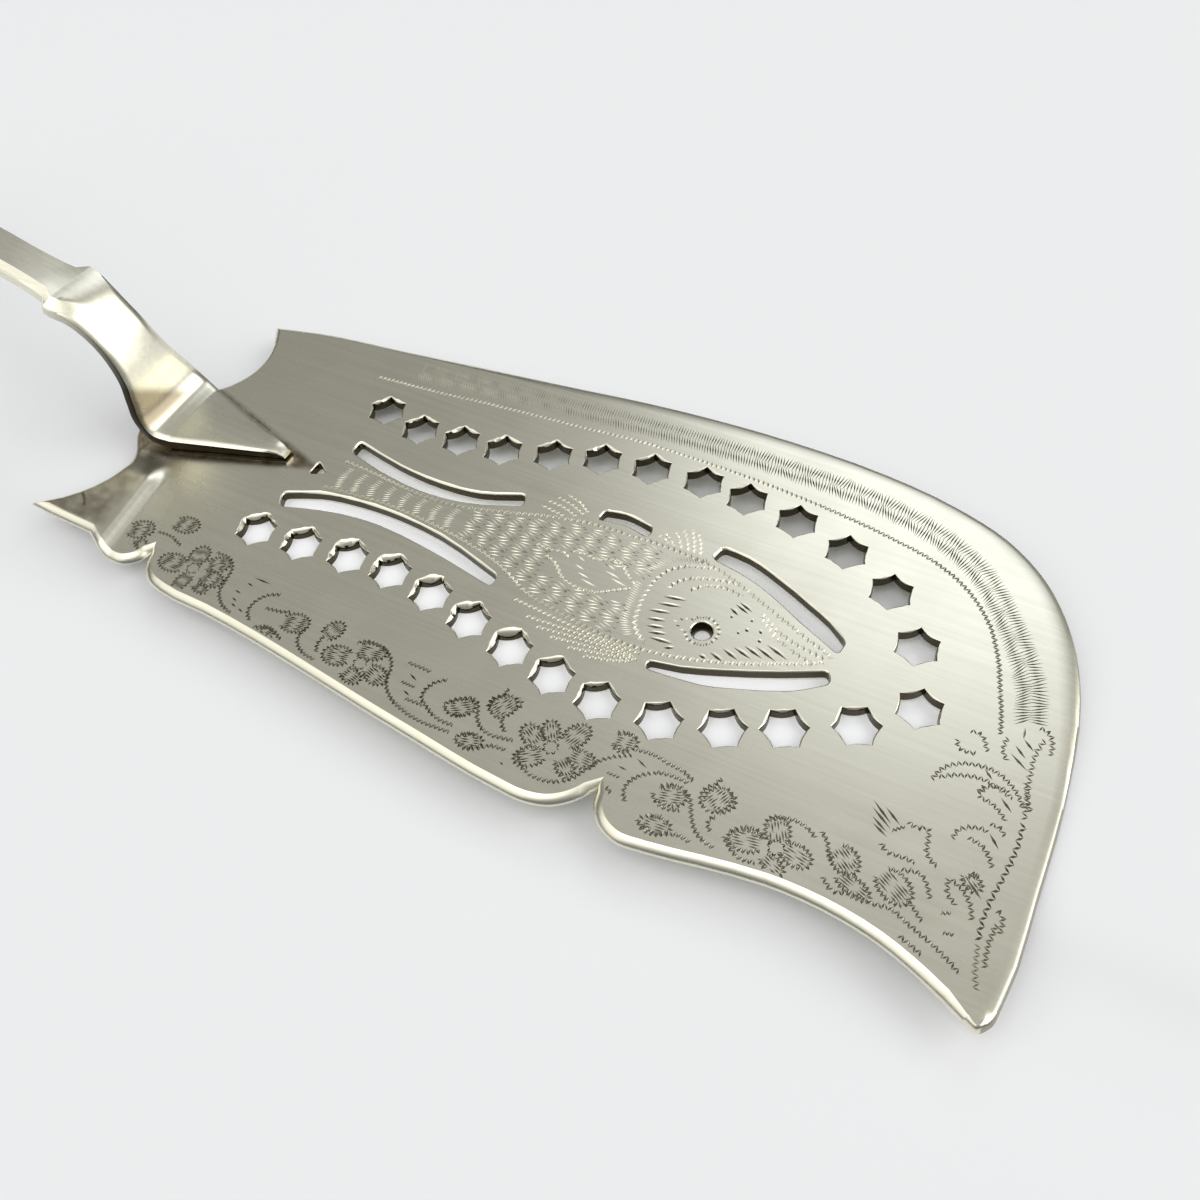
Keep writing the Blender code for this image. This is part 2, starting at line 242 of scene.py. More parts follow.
outline = bladeOutline()
outlineXY = [point[:2] for point in outline]
edgeWidth = []
for point in outlineXY:
    near = 1 - fade(math.dist(point, bladeShape["tip"]), *bladeShape["tipNear"])
    edgeWidth.append(bladeShape["edgeRim"] * between(1, bladeShape["tipRim"], near))
rimWidth = []
for narrow, (x, y, rolled, back) in zip(edgeWidth, outline):
    rimWidth.append(between(narrow, between(bladeShape["noseRim"], bladeShape["backRim"], back), rolled))
rimRings = []
for height, share in bladeShape["underEdge"]:
    inset = movedIn(outlineXY, [share * width for width in edgeWidth])
    rimRings.append([bladePoint(p, height * bladeShape["thick"]) for p in inset])
underLoop = movedIn(outlineXY, [bladeShape["underEdge"][0][1] * width for width in edgeWidth])
sections = zip(bladeShape["bevel"], bladeShape["roll"], bladeShape["noseRoll"])
for (lowZ, lowShare), (rollZ, rollShare), noseShare in sections:
    shares, heights = [], []
    for x, y, rolled, back in outline:
        shares.append(between(lowShare, between(noseShare, rollShare, back), rolled))
        heights.append(between(lowZ, rollZ, rolled) * bladeShape["thick"])
    topLoop = movedIn(outlineXY, [s * width for s, width in zip(shares, rimWidth)])
    rimRings.append([bladePoint(p, z) for p, z in zip(topLoop, heights)])
rim = ringStack("blade_rim", rimRings)
# The nose's steep side faces are painted dark: a painted contact shadow along the edge.
noseEdgeShade = []
for face in rim.data.polygons:
    atNose = face.center.x > place(bladeShape["edgeShadeX"], 0, 0).x
    onSide = abs(face.normal.x) > bladeShape["edgeShadeNormal"]
    noseEdgeShade.append(bladeShape["edgeShadeShare"] if atNose and onSide else 0.0)
setPatinaAndShade(rim.data, noseEdgeShade)
print("blade rim:", len(outline), "points round it")


piercing = {
    "radius": 3.7, "hollow": 0.38, "sides": 6, "facets": 6,
    # the punch drags the upper edge down, most on the side away from the front edge
    "away": (-0.62, 0.785), "rollNear": 0.28, "rollFar": {"backRow": 0.62, "frontRow": 1.2},
    "rollAtPoints": 0.4, "rollSlope": 0.95, "rollShake": 0.28,
    "rollCurve": 1.5, "rollShares": (1, 0.82, 0.64, 0.46, 0.3, 0.14, 0),
    "noseX": (76, 112), "noseRoll": 0.4,        # the rolls are slighter towards the nose
    "slotNear": 0.2, "slotFar": (0.36, 0.42, 0.3, 0.4, 0.22, 0.3, 0.22), "slotSlope": 0.8,
    "outStep": 0.1,                             # a small step, which shows the way out of a cut
    "wallZ": (0.45, 0), "wallNormal": 0.6,      # the wall's levels, and the steepness of what counts as wall
    # corners that turn more than this are rounded, over at most this share of a side
    "cornerTurn": 40, "cornerRound": 0.95, "cornerMost": 0.45, "cornerSteps": (0, 0.25, 0.5, 0.75, 1),
    "backRow": ((33.7, 17.7), (42.4, 15.9), (50.9, 16.5), (59.3, 17.5), (68.3, 20), (76.9, 22.6), (86, 24),
                (95.6, 24.8), (104, 24.2), (113.5, 23), (123.3, 20.1), (132.5, 15.3), (139.6, 7),
                (143.5, -3.4)),
    "backRowTurn": (-7, -22),
    "frontRow": ((29.2, -16.4), (38.6, -15.8), (47.8, -14.8), (56.4, -14.5), (65.2, -15.6), (73.9, -17.6),
                 (82.8, -19.5), (91.4, -21.2), (99.9, -22.3), (109.9, -21.4), (119, -18.6), (127.1, -14.8),
                 (136.4, -10)),
    "frontRowTurn": (-20, -34),
    "slots": (
        (((33.6, 8.9), (44, 6.8), (53, 6.2), (61, 7), (68.6, 9.9)),
         ((33.9, 6), (41.3, 4.2), (50.7, 3.1), (59, 3.8), (69.5, 7.3))),
        (((28.1, -7.3), (34.3, -4.7), (42.3, -3.4), (50.8, -3.2), (59.7, -4.1), (73.5, -7.8)),
         ((29.5, -10.2), (33.2, -9), (40.7, -7.2), (48.8, -6.6), (57.8, -7.4), (73.4, -10.1))),
        (((83, 12.2), (86.6, 12.9), (92.2, 12.1)), ((82.8, 9.9), (87.6, 10.6), (92.4, 9.8))),
        (((104.8, 13), (109.5, 12.6), (115.8, 10.5), (122, 7.8), (126, 5.9), (129.6, 3.3)),
         ((104, 10.1), (109.3, 9.2), (115.5, 7.1), (121.8, 4.1), (129.3, 0.7))),
        (((103.5, -12.4), (108.6, -11.4), (114.3, -9.4), (122.7, -5.9), (129.2, -2.7)),
         ((103.8, -13.9), (112.7, -13), (119.8, -10.7), (126.6, -7.6), (130.2, -4.8))),
    ),
    "eye": (108.7, -3.9), "eyeRadius": 1.75, "ringPoints": 24, "eyeTaper": 0.72,    # it narrows downwards
    "nick": ((29.6, -1.7), (32.6, -0.34), (29.6, 1.7)),
}


# An outline with its sharp corners rounded.
def roundedCorners(loop, radius):
    points = []
    for i, here in enumerate(loop):
        here, before, after = Vector(here), Vector(loop[i - 1]), Vector(loop[(i + 1) % len(loop)])
        if (here - before).angle(after - here) < math.radians(piercing["cornerTurn"]):
            points.append(here)
            continue
        shares = [min(radius / (other - here).length, piercing["cornerMost"]) for other in (before, after)]
        ends = [here.lerp(other, share) for other, share in zip((before, after), shares)]
        for t in piercing["cornerSteps"]:
            points.append(ends[0] * (1 - t) ** 2 + here * 2 * t * (1 - t) + ends[1] * t * t)
    return points


# Rings from the lip, where the roll starts, over the rolled edge and down the wall. The walls are painted
# dark: painted shade, with some tarnish.
def pierce(name, edge, lip, slope, taper=1.0):
    rings = []
    for share in piercing["rollShares"]:
        ring = []
        for a, b in zip(edge, lip):
            drop = slope * (b - a).length * (1 - share) ** piercing["rollCurve"]
            ring.append(place(*a.lerp(b, share), bladeShape["thick"] - drop))
        rings.append(ring)
    middle = sum(edge, Vector((0, 0))) / len(edge)
    lowEdge = [middle.lerp(p, taper) for p in edge]
    for z in piercing["wallZ"]:
        rings.append([place(*p, z) for p in lowEdge])
    wall = ringStack(name, rings)
    # the steep wall faces get painted shade, with some tarnish
    dark = [float(abs(face.normal.z) < piercing["wallNormal"]) for face in wall.data.polygons]
    setPatinaAndShade(wall.data, dark)
    holes.append([lip, lowEdge])
    wallPieces.append(wall)


# How wide the rolled lip is where its outline faces this way.
def rollWidth(outward, near, far):
    facing = max(0.0, outward.normalized().dot(Vector(piercing["away"])))
    return between(near, far, facing) * (1 + hand.uniform(-1, 1) * piercing["rollShake"])


# One star-shaped piercing: its hollow sides, and the lip outside them where the roll starts.
def starEdge(centre, turn, rollFar):
    slight = between(1, piercing["noseRoll"], fade(centre[0], *piercing["noseX"]))
    edge, lip = [], []
    for side in range(piercing["sides"]):
        ends = [towards(math.radians(360 / piercing["sides"] * k)) for k in (side, side + 1)]
        for k in range(piercing["facets"]):
            t = k / piercing["facets"]
            bow = 4 * t * (1 - t)
            point = ends[0].lerp(ends[1], t) * piercing["radius"]
            point = turn @ (point - (ends[0] + ends[1]).normalized() * piercing["hollow"] * bow)
            roll = rollWidth(point, piercing["rollNear"], rollFar * slight)
            roll *= between(piercing["rollAtPoints"], 1, bow)
            edge.append(Vector(centre) + point)
            lip.append(Vector(centre) + point * (1 + roll / point.length))
    return edge, lip


hand = random.Random(11)        # every uneven width, lean and length is drawn from this
holes = []          # each hole's lip, where its roll starts, and its lower edge
wallPieces = []
for row, turns in (("backRow", "backRowTurn"), ("frontRow", "frontRowTurn")):
    first, last = piercing[turns]
    for i, centre in enumerate(piercing[row]):
        turn = Matrix.Rotation(math.radians(between(first, last, i / (len(piercing[row]) - 1))), 2)
        edge, lip = starEdge(centre, turn, piercing["rollFar"][row])
        pierce(f"pierced_star_{row}_{i}", edge, lip, piercing["rollSlope"])

otherLoops = [throughKnots(near) + throughKnots(far)[::-1] for far, near in piercing["slots"]]
otherLoops = [roundedCorners(loop, piercing["cornerRound"]) for loop in otherLoops + [piercing["nick"]]]
ringAngles = [math.radians(360 / piercing["ringPoints"] * i) for i in range(piercing["ringPoints"])]
otherLoops.append([Vector(piercing["eye"]) + piercing["eyeRadius"] * towards(a) for a in ringAngles])
otherLoops = [[Vector(p) for p in loop] for loop in otherLoops]
for i, loop in enumerate(otherLoops):
    outward = [a - b for a, b in zip(movedIn(loop, [-piercing["outStep"]] * len(loop)), loop)]
    widths = [-rollWidth(way, piercing["slotNear"], piercing["slotFar"][i]) for way in outward]
    taper = piercing["eyeTaper"] if loop is otherLoops[-1] else 1.0
    pierce(f"pierced_slot_{i}", loop, movedIn(loop, widths), piercing["slotSlope"], taper)
print("piercings:", len(holes))


# Engraving: every line is a run of straight graver cuts, each a pointed boat-shaped groove.
engraving = {
    "cutWidth": 0.28, "cutDepth": 0.42,         # depth is a share of the width
    "tilt": 0.55, "brightSide": (0.1, -1),      # bright cuts have their wide facet turned this way
    "brightBelow": 0.5,                         # cuts darker than this have it turned away
    "pitch": 1.1, "swing": 0.9,                 # length and width of a wave
    "pathTurn": 6, "pathStep": 0.6,             # how finely a line's curve is followed
    "shake": 0.12, "leanShake": 5,              # how far the hand varies, as a share and in degrees
    "dashMore": 0.12,                           # how far a dash runs past its marks, as a share
    "frontDark": (0.9, -0.2, 70, 120),          # the front border is dark, a little less so at the nose
    "leastDepth": 0.004, "cell": 2.0,           # what counts as cut, and squares to sort cuts into
}
# How the graver is rocked for each kind of line: length and width of a wave and width of its strokes, as
# shares of the usual, then the strokes back, as a share of that width, and their darkness if it differs.
rocking = {
    "backLine": (0.82, 1.1, 1.4, 0.85), "fishLine": (0.98, 1.1, 1.25, 0.9, 0.4),
    "finRay": (0.85, 0.85, 1.25, 0.9, 0.35), "petalRim": (0.62, 1.05, 1.15, 0.65),
    "roseEye": (0.8, 0.6, 1.0, 0.6), "shortLine": (0.5, 0.75, 1.0, 0.85),
    "heelLine": (0.7, 1.0, 1.3, 0.65), "noseLine": (0.82, 1.05, 1.15, 0.85),
}
cuts = []


# A value that changes along the blade: what it is at first, its growth, and between which places it grows.
def alongBlade(x, first, growth, low, high):
    return first + growth * fade(x, low, high)


# The deepest line lies to one side of the middle, so one facet is wide and the other steep.
def cut(start, end, width, dark):
    start, end = Vector(start), Vector(end)
    way = (end - start).normalized()
    aside = leftOf(way) * width * engraving["cutWidth"] / 2
    if isinstance(dark, tuple):
        dark = alongBlade(start.x, *dark)
    if (aside.dot(Vector(engraving["brightSide"])) > 0) != (dark < engraving["brightBelow"]):
        aside.negate()
    cuts.append((start, end, aside, dark))


# One stroke across a place, a little longer or shorter than meant. Half of it is given back.
def stroke(middle, way, length, width, dark):
    half = way * length / 2 * (1 + hand.uniform(-1, 1) * engraving["shake"])
    cut(middle - half, middle + half, width, dark)
    return half


# A single stroke that runs a little past its two marks.
def dash(start, end, width, dark):
    start, end = Vector(start), Vector(end)
    more = (end - start) * engraving["dashMore"]
    cut(start - more, end + more, width, dark)


# Places at equal steps along a line, each with its direction.
def along(knots, step):
    path = [Vector(p) for p in throughKnots(knots, engraving["pathTurn"], engraving["pathStep"])]
    stops, left = [], 0.0
    for a, b in zip(path, path[1:]):
        length = (b - a).length
        while left <= length:
            stops.append((a.lerp(b, left / length), (b - a) / length))
            left += step
        left -= length
    return stops


# The graver is rocked from side to side while it is pushed along.
def wriggle(knots, dark, pitch, swing, width, backStroke, backDark=None):
    turns = []
    for i, (point, way) in enumerate(along(knots, pitch * engraving["pitch"] / 2)):
        reach = swing * engraving["swing"] / 2 * (1 + hand.uniform(-1, 1) * engraving["shake"])
        turns.append(point + leftOf(way) * (reach if i % 2 else -reach))
    for i, (a, b) in enumerate(zip(turns, turns[1:])):
        if i % 2:
            cut(a, b, width, dark)
        else:
            cut(a, b, width * backStroke, dark if backDark is None else backDark)


# A row of strokes side by side across a line.
def comb(knots, length, gap, lean, width, dark):
    for point, way in along(knots, gap):
        tilted = lean + hand.uniform(-engraving["leanShake"], engraving["leanShake"])
        across = Matrix.Rotation(math.radians(tilted), 2) @ leftOf(way)
        stroke(point, across, length, width, dark)


petalShape = {
    "open": 150, "step": 10,        # degrees: the rim runs this far to each side, and stays open at the root
    "veinSides": (-0.6, 0.65),      # veins lie between these shares of half the width
    "veinGap": (0.33, 0.09, 40, 80), "veinInset": 0.35, "veinWidth": 0.95,
    "split": 0.35, "pause": 0.12,   # each vein is broken near its middle
}


# A petal or leaf: wriggled round, with broken veins along it.
def petal(x, y, reach, spread, turn):
    turned = Matrix.Rotation(math.radians(turn), 2)
    middle = Vector((x, y))
    petalRim = []
    for degrees in range(-petalShape["open"], petalShape["open"] + 1, petalShape["step"]):
        a = math.radians(degrees)
        petalRim.append(middle + turned @ Vector((reach * math.cos(a), spread * math.sin(a))))
    wriggle(petalRim, engraving["frontDark"], *rocking["petalRim"])
    side, last = petalShape["veinSides"]
    while side < last:
        half = reach * math.sqrt(1 - side * side) - petalShape["veinInset"]
        split = hand.uniform(-petalShape["split"], petalShape["split"])
        for start, end in ((-1, split - petalShape["pause"]), (split + petalShape["pause"], 1)):
            ends = [middle + turned @ Vector((s * half, side * spread)) for s in (start, end)]
            cut(*ends, petalShape["veinWidth"], engraving["frontDark"])
        side += alongBlade(x, *petalShape["veinGap"]) / spread


backBorder = {
    "line": ((27, 24.8), (40, 25.7), (50, 26.7), (60, 27.6), (70, 28.3), (80, 29.2), (90, 29.3), (100, 29),
             (110, 28.3), (120, 27.2), (130, 25.5), (137, 23.7), (143, 20.5), (148, 15.5), (151, 10),
             (153, 4.5), (154.5, 0), (155.2, -3)),
    "band": ((34, 29), (45, 30), (58, 31.2), (70, 32.1), (80, 32.8), (90, 33.2), (100, 33.2), (110, 33),
             (120, 32.4), (130, 30.6), (138, 27.8), (144, 24), (149, 18.6), (153, 13), (156.4, 7),
             (158.2, 0.8)),
    "rows": ((1.42, 6, 3.0, 0), (-0.82, 20, 3.0, 2.4)),      # offset, lean, stroke length, start of the fans
    "rowGap": 0.5, "leanShake": 4,
    "fan": (4.7, 13), "fanX": (84, 112),        # length of a fan, and how far its strokes lean to each side
    # the cuts are darker towards the nose, and near the heel the same cuts are light
    "lineDark": (0.06, 0.6, 80, 134), "bandDark": (0.08, 0.62, 40, 114), "bold": (0.55, 0.4, 40, 114),
    "patch": 0.22,      # before the fans start to lean, half of each is this much darker
}
wriggle(backBorder["line"], backBorder["lineDark"], *rocking["backLine"])
for aside, lean, length, start in backBorder["rows"]:
    for i, (point, way) in enumerate(along(backBorder["band"], backBorder["rowGap"])):
        fan, most = backBorder["fan"]
        nose = fade(point.x, *backBorder["fanX"])
        swing = math.sin((i * backBorder["rowGap"] + start) / fan * 2 * math.pi)
        tilted = lean + most * nose * swing + hand.uniform(-backBorder["leanShake"], backBorder["leanShake"])
        dark = alongBlade(point.x, *backBorder["bandDark"])
        dark += backBorder["patch"] * max(0.0, swing) * (1 - nose)
        across = Matrix.Rotation(math.radians(tilted), 2) @ leftOf(way)
        bold = alongBlade(point.x, *backBorder["bold"])
        stroke(point + leftOf(way) * aside, across, length, bold, dark)
print("back border:", len(cuts), "cuts")

fish = {
    "outlineDark": 0.12, "finDark": 0.1,
    "outlines": (
        ((34, 3.6), (40, 3.2), (50, 2.3), (55, 2.3), (60, 3), (66, 4.5), (70, 5.6), (74, 6.9), (78, 7.8),
         (82, 8.6), (90, 9), (95, 9.2), (100, 9), (104, 8.6), (108, 7.7), (112, 6.2), (116, 4.6), (120, 3),
         (124, 1.4), (128, 0), (129, -0.6)),
        ((34, -3.2), (40, -2.6), (45, -2.2), (55, -2.5), (60, -3), (65, -3.8), (70, -4.9), (74, -6.3),
         (78, -8.2), (80, -9), (84, -9.7), (88, -10.3), (92, -10.8), (96, -11), (100, -11), (104, -10.6),
         (110, -9.3), (114, -8), (118, -6.5), (122, -4.6), (126, -2.8), (128, -1.6)),
        ((105, 8.2), (101, 6.8), (98.5, 4.5), (97.5, 2), (97.3, -1), (97.6, -4), (98.5, -7), (101, -9.4),
         (102, -9.8)),
        ((110, 7), (105, 5.8), (102, 4.3), (100.5, 2.5), (100.2, 1.2)),
        ((111.8, 4.8), (108, 5.3), (105, 4), (103.5, 2.5)), ((115.7, 3.2), (118, 1.6), (122, 0), (128, -1)),
        ((116, 2.5), (120, -0.5), (124, -2), (127, -2.6)),
    ),
    "finRays": (
        ((78.5, -10.7), (92, -11.7), (102, -11.8)), ((82, -12.9), (92, -12.4), (100, -12.1)),
        ((84.5, -14), (92, -13.2), (101, -12.5)), ((87.5, -14.8), (94, -13.9), (101.5, -12.8)),
        ((91, -15.4), (97, -14.2), (102, -13)), ((94, -15.9), (99, -14.6), (101.5, -13.6)),
        ((80.5, 10.5), (78, 12), (75, 12.9)), ((80, 9.8), (77, 11), (74, 11.6)),
        ((79, 8.9), (76, 9.9), (72.5, 10.2)), ((77, 8.2), (74, 8.6), (72, 8.9)),
        ((101, 9.8), (100, 12), (98.5, 14.5)), ((102.2, 9.8), (101.2, 12), (99.8, 14.2)),
        ((98.8, 9.8), (97.4, 11.5), (96, 12.6)), ((97.2, 9.8), (95.8, 11), (94.4, 11.8)),
        ((100, 9.8), (98.7, 12), (97.2, 13.6)), ((96, 9.9), (95, 10.6), (93.8, 11)),
    ),
    "pectoral": (
        ((76, 1), (78.5, 0.8), (80.5, 1.2), (82.6, 0.3)),
        ((82.4, 2.1), (84.5, 2.4), (87, 2), (89.5, 3.1), (91.3, 2.9), (92.6, 1.5), (94.3, 0.3),
         (95.6, -0.7)),
        ((78.5, -0.6), (80.5, -1.3), (82, -2.4), (83.3, -3.6), (85, -4.2), (88, -4.4), (90.5, -3.8),
         (92.5, -2.5), (95, -0.9)),
    ),
    "finStrokes": (
        ((83.7, 1.4), (85.3, 0.8)), ((84, -0.3), (86, -0.8)), ((85.2, -1.6), (87.5, -2)),
        ((86.3, -2.6), (89.5, -3.1)), ((89, 1.8), (90.8, 1.3)), ((89.3, 0.5), (92.3, 0)),
        ((90.8, -0.5), (94, -1)),
    ),
    "dashes": (
        ((100.5, -0.3), (103.7, 0.3)), ((100.3, -1.9), (103.5, -1.2)), ((99.5, -3.7), (102.5, -3)),
        ((100, -5.3), (102.5, -4.7)), ((100.5, -6.6), (103, -6)), ((101.3, -7.6), (103.7, -7)),
        ((102, -8.5), (105.3, -8.2)), ((104.8, -9.3), (106, -8.8)), ((110.3, -8.3), (111.4, -8.5)),
        ((111.8, -7.2), (114, -7.9)), ((113.3, -5.8), (115.7, -6.6)), ((114.7, -4.8), (117.5, -5.6)),
        ((116.1, -3.9), (119, -4.8)), ((117.8, -3.3), (121, -4.4)), ((119.2, -2.3), (122.5, -3.4)),
        ((112, 3.5), (114.2, 2.7)), ((111.6, 2.9), (113.8, 2.1)), ((111, 1.9), (112.5, 1.2)),
        ((111.6, 0.5), (112, 0.3)), ((114.8, 1.1), (115.2, 0.9)), ((114.7, -0.9), (115.3, -1.1)),
        ((116.8, -0.3), (117.4, -0.6)), ((113.8, -1.9), (114.2, -2.1)), ((117.3, -2), (117.9, -2.2)),
    ),
    "finStroke": (1.2, 0.1), "dashStroke": (1.6, 0.8),      # width and darkness
    "beside": (0.1, 0.42), "besideStroke": (0.8, 0.1),      # the bright stroke beside each dash
    # rows of strokes behind the gill: knots, length, spacing, lean
    "gillRows": ((((103.5, 9), (100, 7.9), (97.2, 6), (95.6, 3.2)), 1.8, 0.46, 20),
                 (((95.4, 0.5), (95.8, -3), (96.8, -7.4), (98.6, -9.6)), 1.7, 0.46, -15)),
    "gillStroke": (0.65, 0.2),
    # strokes round the eye, with a tip towards the gill: distance, length, count, width, darkness by turns
    "eyeRing": (2.25, 0.8, 36, 1.05), "eyeDark": (0.25, 0.65), "eyeTip": 1.9, "eyeTipWide": 0.5,
    # columns across the body: from, to and step
    "tailColumns": (36, 62, 3.3), "tailInset": 0.8, "tailBow": 0.5,
    "tailStroke": (1.7, 0.46, 10, 0.5, 0.2),    # a stroke's length, spacing, lean, width and darkness
    "scaleColumns": (63.5, 96.5, 3.4), "scaleInset": 0.9, "scaleRow": 2.9, "scaleBow": 0.45,
    "scaleStroke": (1.9, 0.55, 0.85, 0.26),     # a stroke's length, spacing, width and darkness
    "scaleFan": 18, "scaleShake": 3,            # degrees that it turns
    "scaleEnd": (1.1, 2.2, 0.7, 0.6),           # a darker one after it: start, end, share of width, darkness
    "finArea": (79, 96, -4.4, 2.2),             # scales stop where the fin lies
}


# Where the fish's body starts and ends across the blade, at x.
def bodySpan(x, inset):
    back, belly = [np.interp(x, *zip(*knots)) for knots in fish["outlines"][:2]]
    return belly + inset, back - inset


for knots in fish["outlines"]:
    wriggle(knots, fish["outlineDark"], *rocking["fishLine"])
for knots in fish["finRays"] + fish["pectoral"]:
    wriggle(knots, fish["finDark"], *rocking["finRay"])
for start, end in fish["finStrokes"]:
    cut(start, end, *fish["finStroke"])
# each dash is a dark stroke with a thin bright one beside it
for start, end in fish["dashes"]:
    dash(start, end, *fish["dashStroke"])
    beside = Vector(fish["beside"])
    cut(Vector(start) + beside, Vector(end) + beside, *fish["besideStroke"])
for row in fish["gillRows"]:
    comb(*row, *fish["gillStroke"])
near, length, count, width = fish["eyeRing"]
for i in range(count):
    a = 2 * math.pi / count * i
    reach = near + fish["eyeTip"] * max(0, 1 - abs(a - math.pi) / fish["eyeTipWide"])
    way = towards(a)
    middle = Vector(piercing["eye"]) + way * reach
    cut(middle, middle + way * length, width, fish["eyeDark"][i % 2])
x, last, step = fish["tailColumns"]
while x < last:
    bottom, top = bodySpan(x, fish["tailInset"])
    bowed = x + fish["tailBow"]
    comb(((bowed, bottom), (x, (top + bottom) / 2), (bowed, top)), *fish["tailStroke"])
    x += step
x, last, step = fish["scaleColumns"]
left, right, low, high = fish["finArea"]
column = 0
while x < last:
    bottom, top = bodySpan(x, fish["scaleInset"])
    runs = [(bottom, low), (high, top)] if left < x < right else [(bottom, top)]
    for start, end in runs:
        y = start
        while y < end:
            phase = 2 * math.pi * (y / fish["scaleRow"] + column / 2)
            shake = hand.uniform(-fish["scaleShake"], fish["scaleShake"])
            way = towards(math.radians(-fish["scaleFan"] * math.sin(phase) + shake))
            length, gap, width, dark = fish["scaleStroke"]
            middle = Vector((x - fish["scaleBow"] * math.cos(phase), y))
            half = stroke(middle, way, length, width, dark)
            near, far, thin, dark = fish["scaleEnd"]
            cut(middle + half * near, middle + half * far, thin * width, dark)
            y += gap
    column, x = column + 1, x + step
print("with the fish:", len(cuts), "cuts")

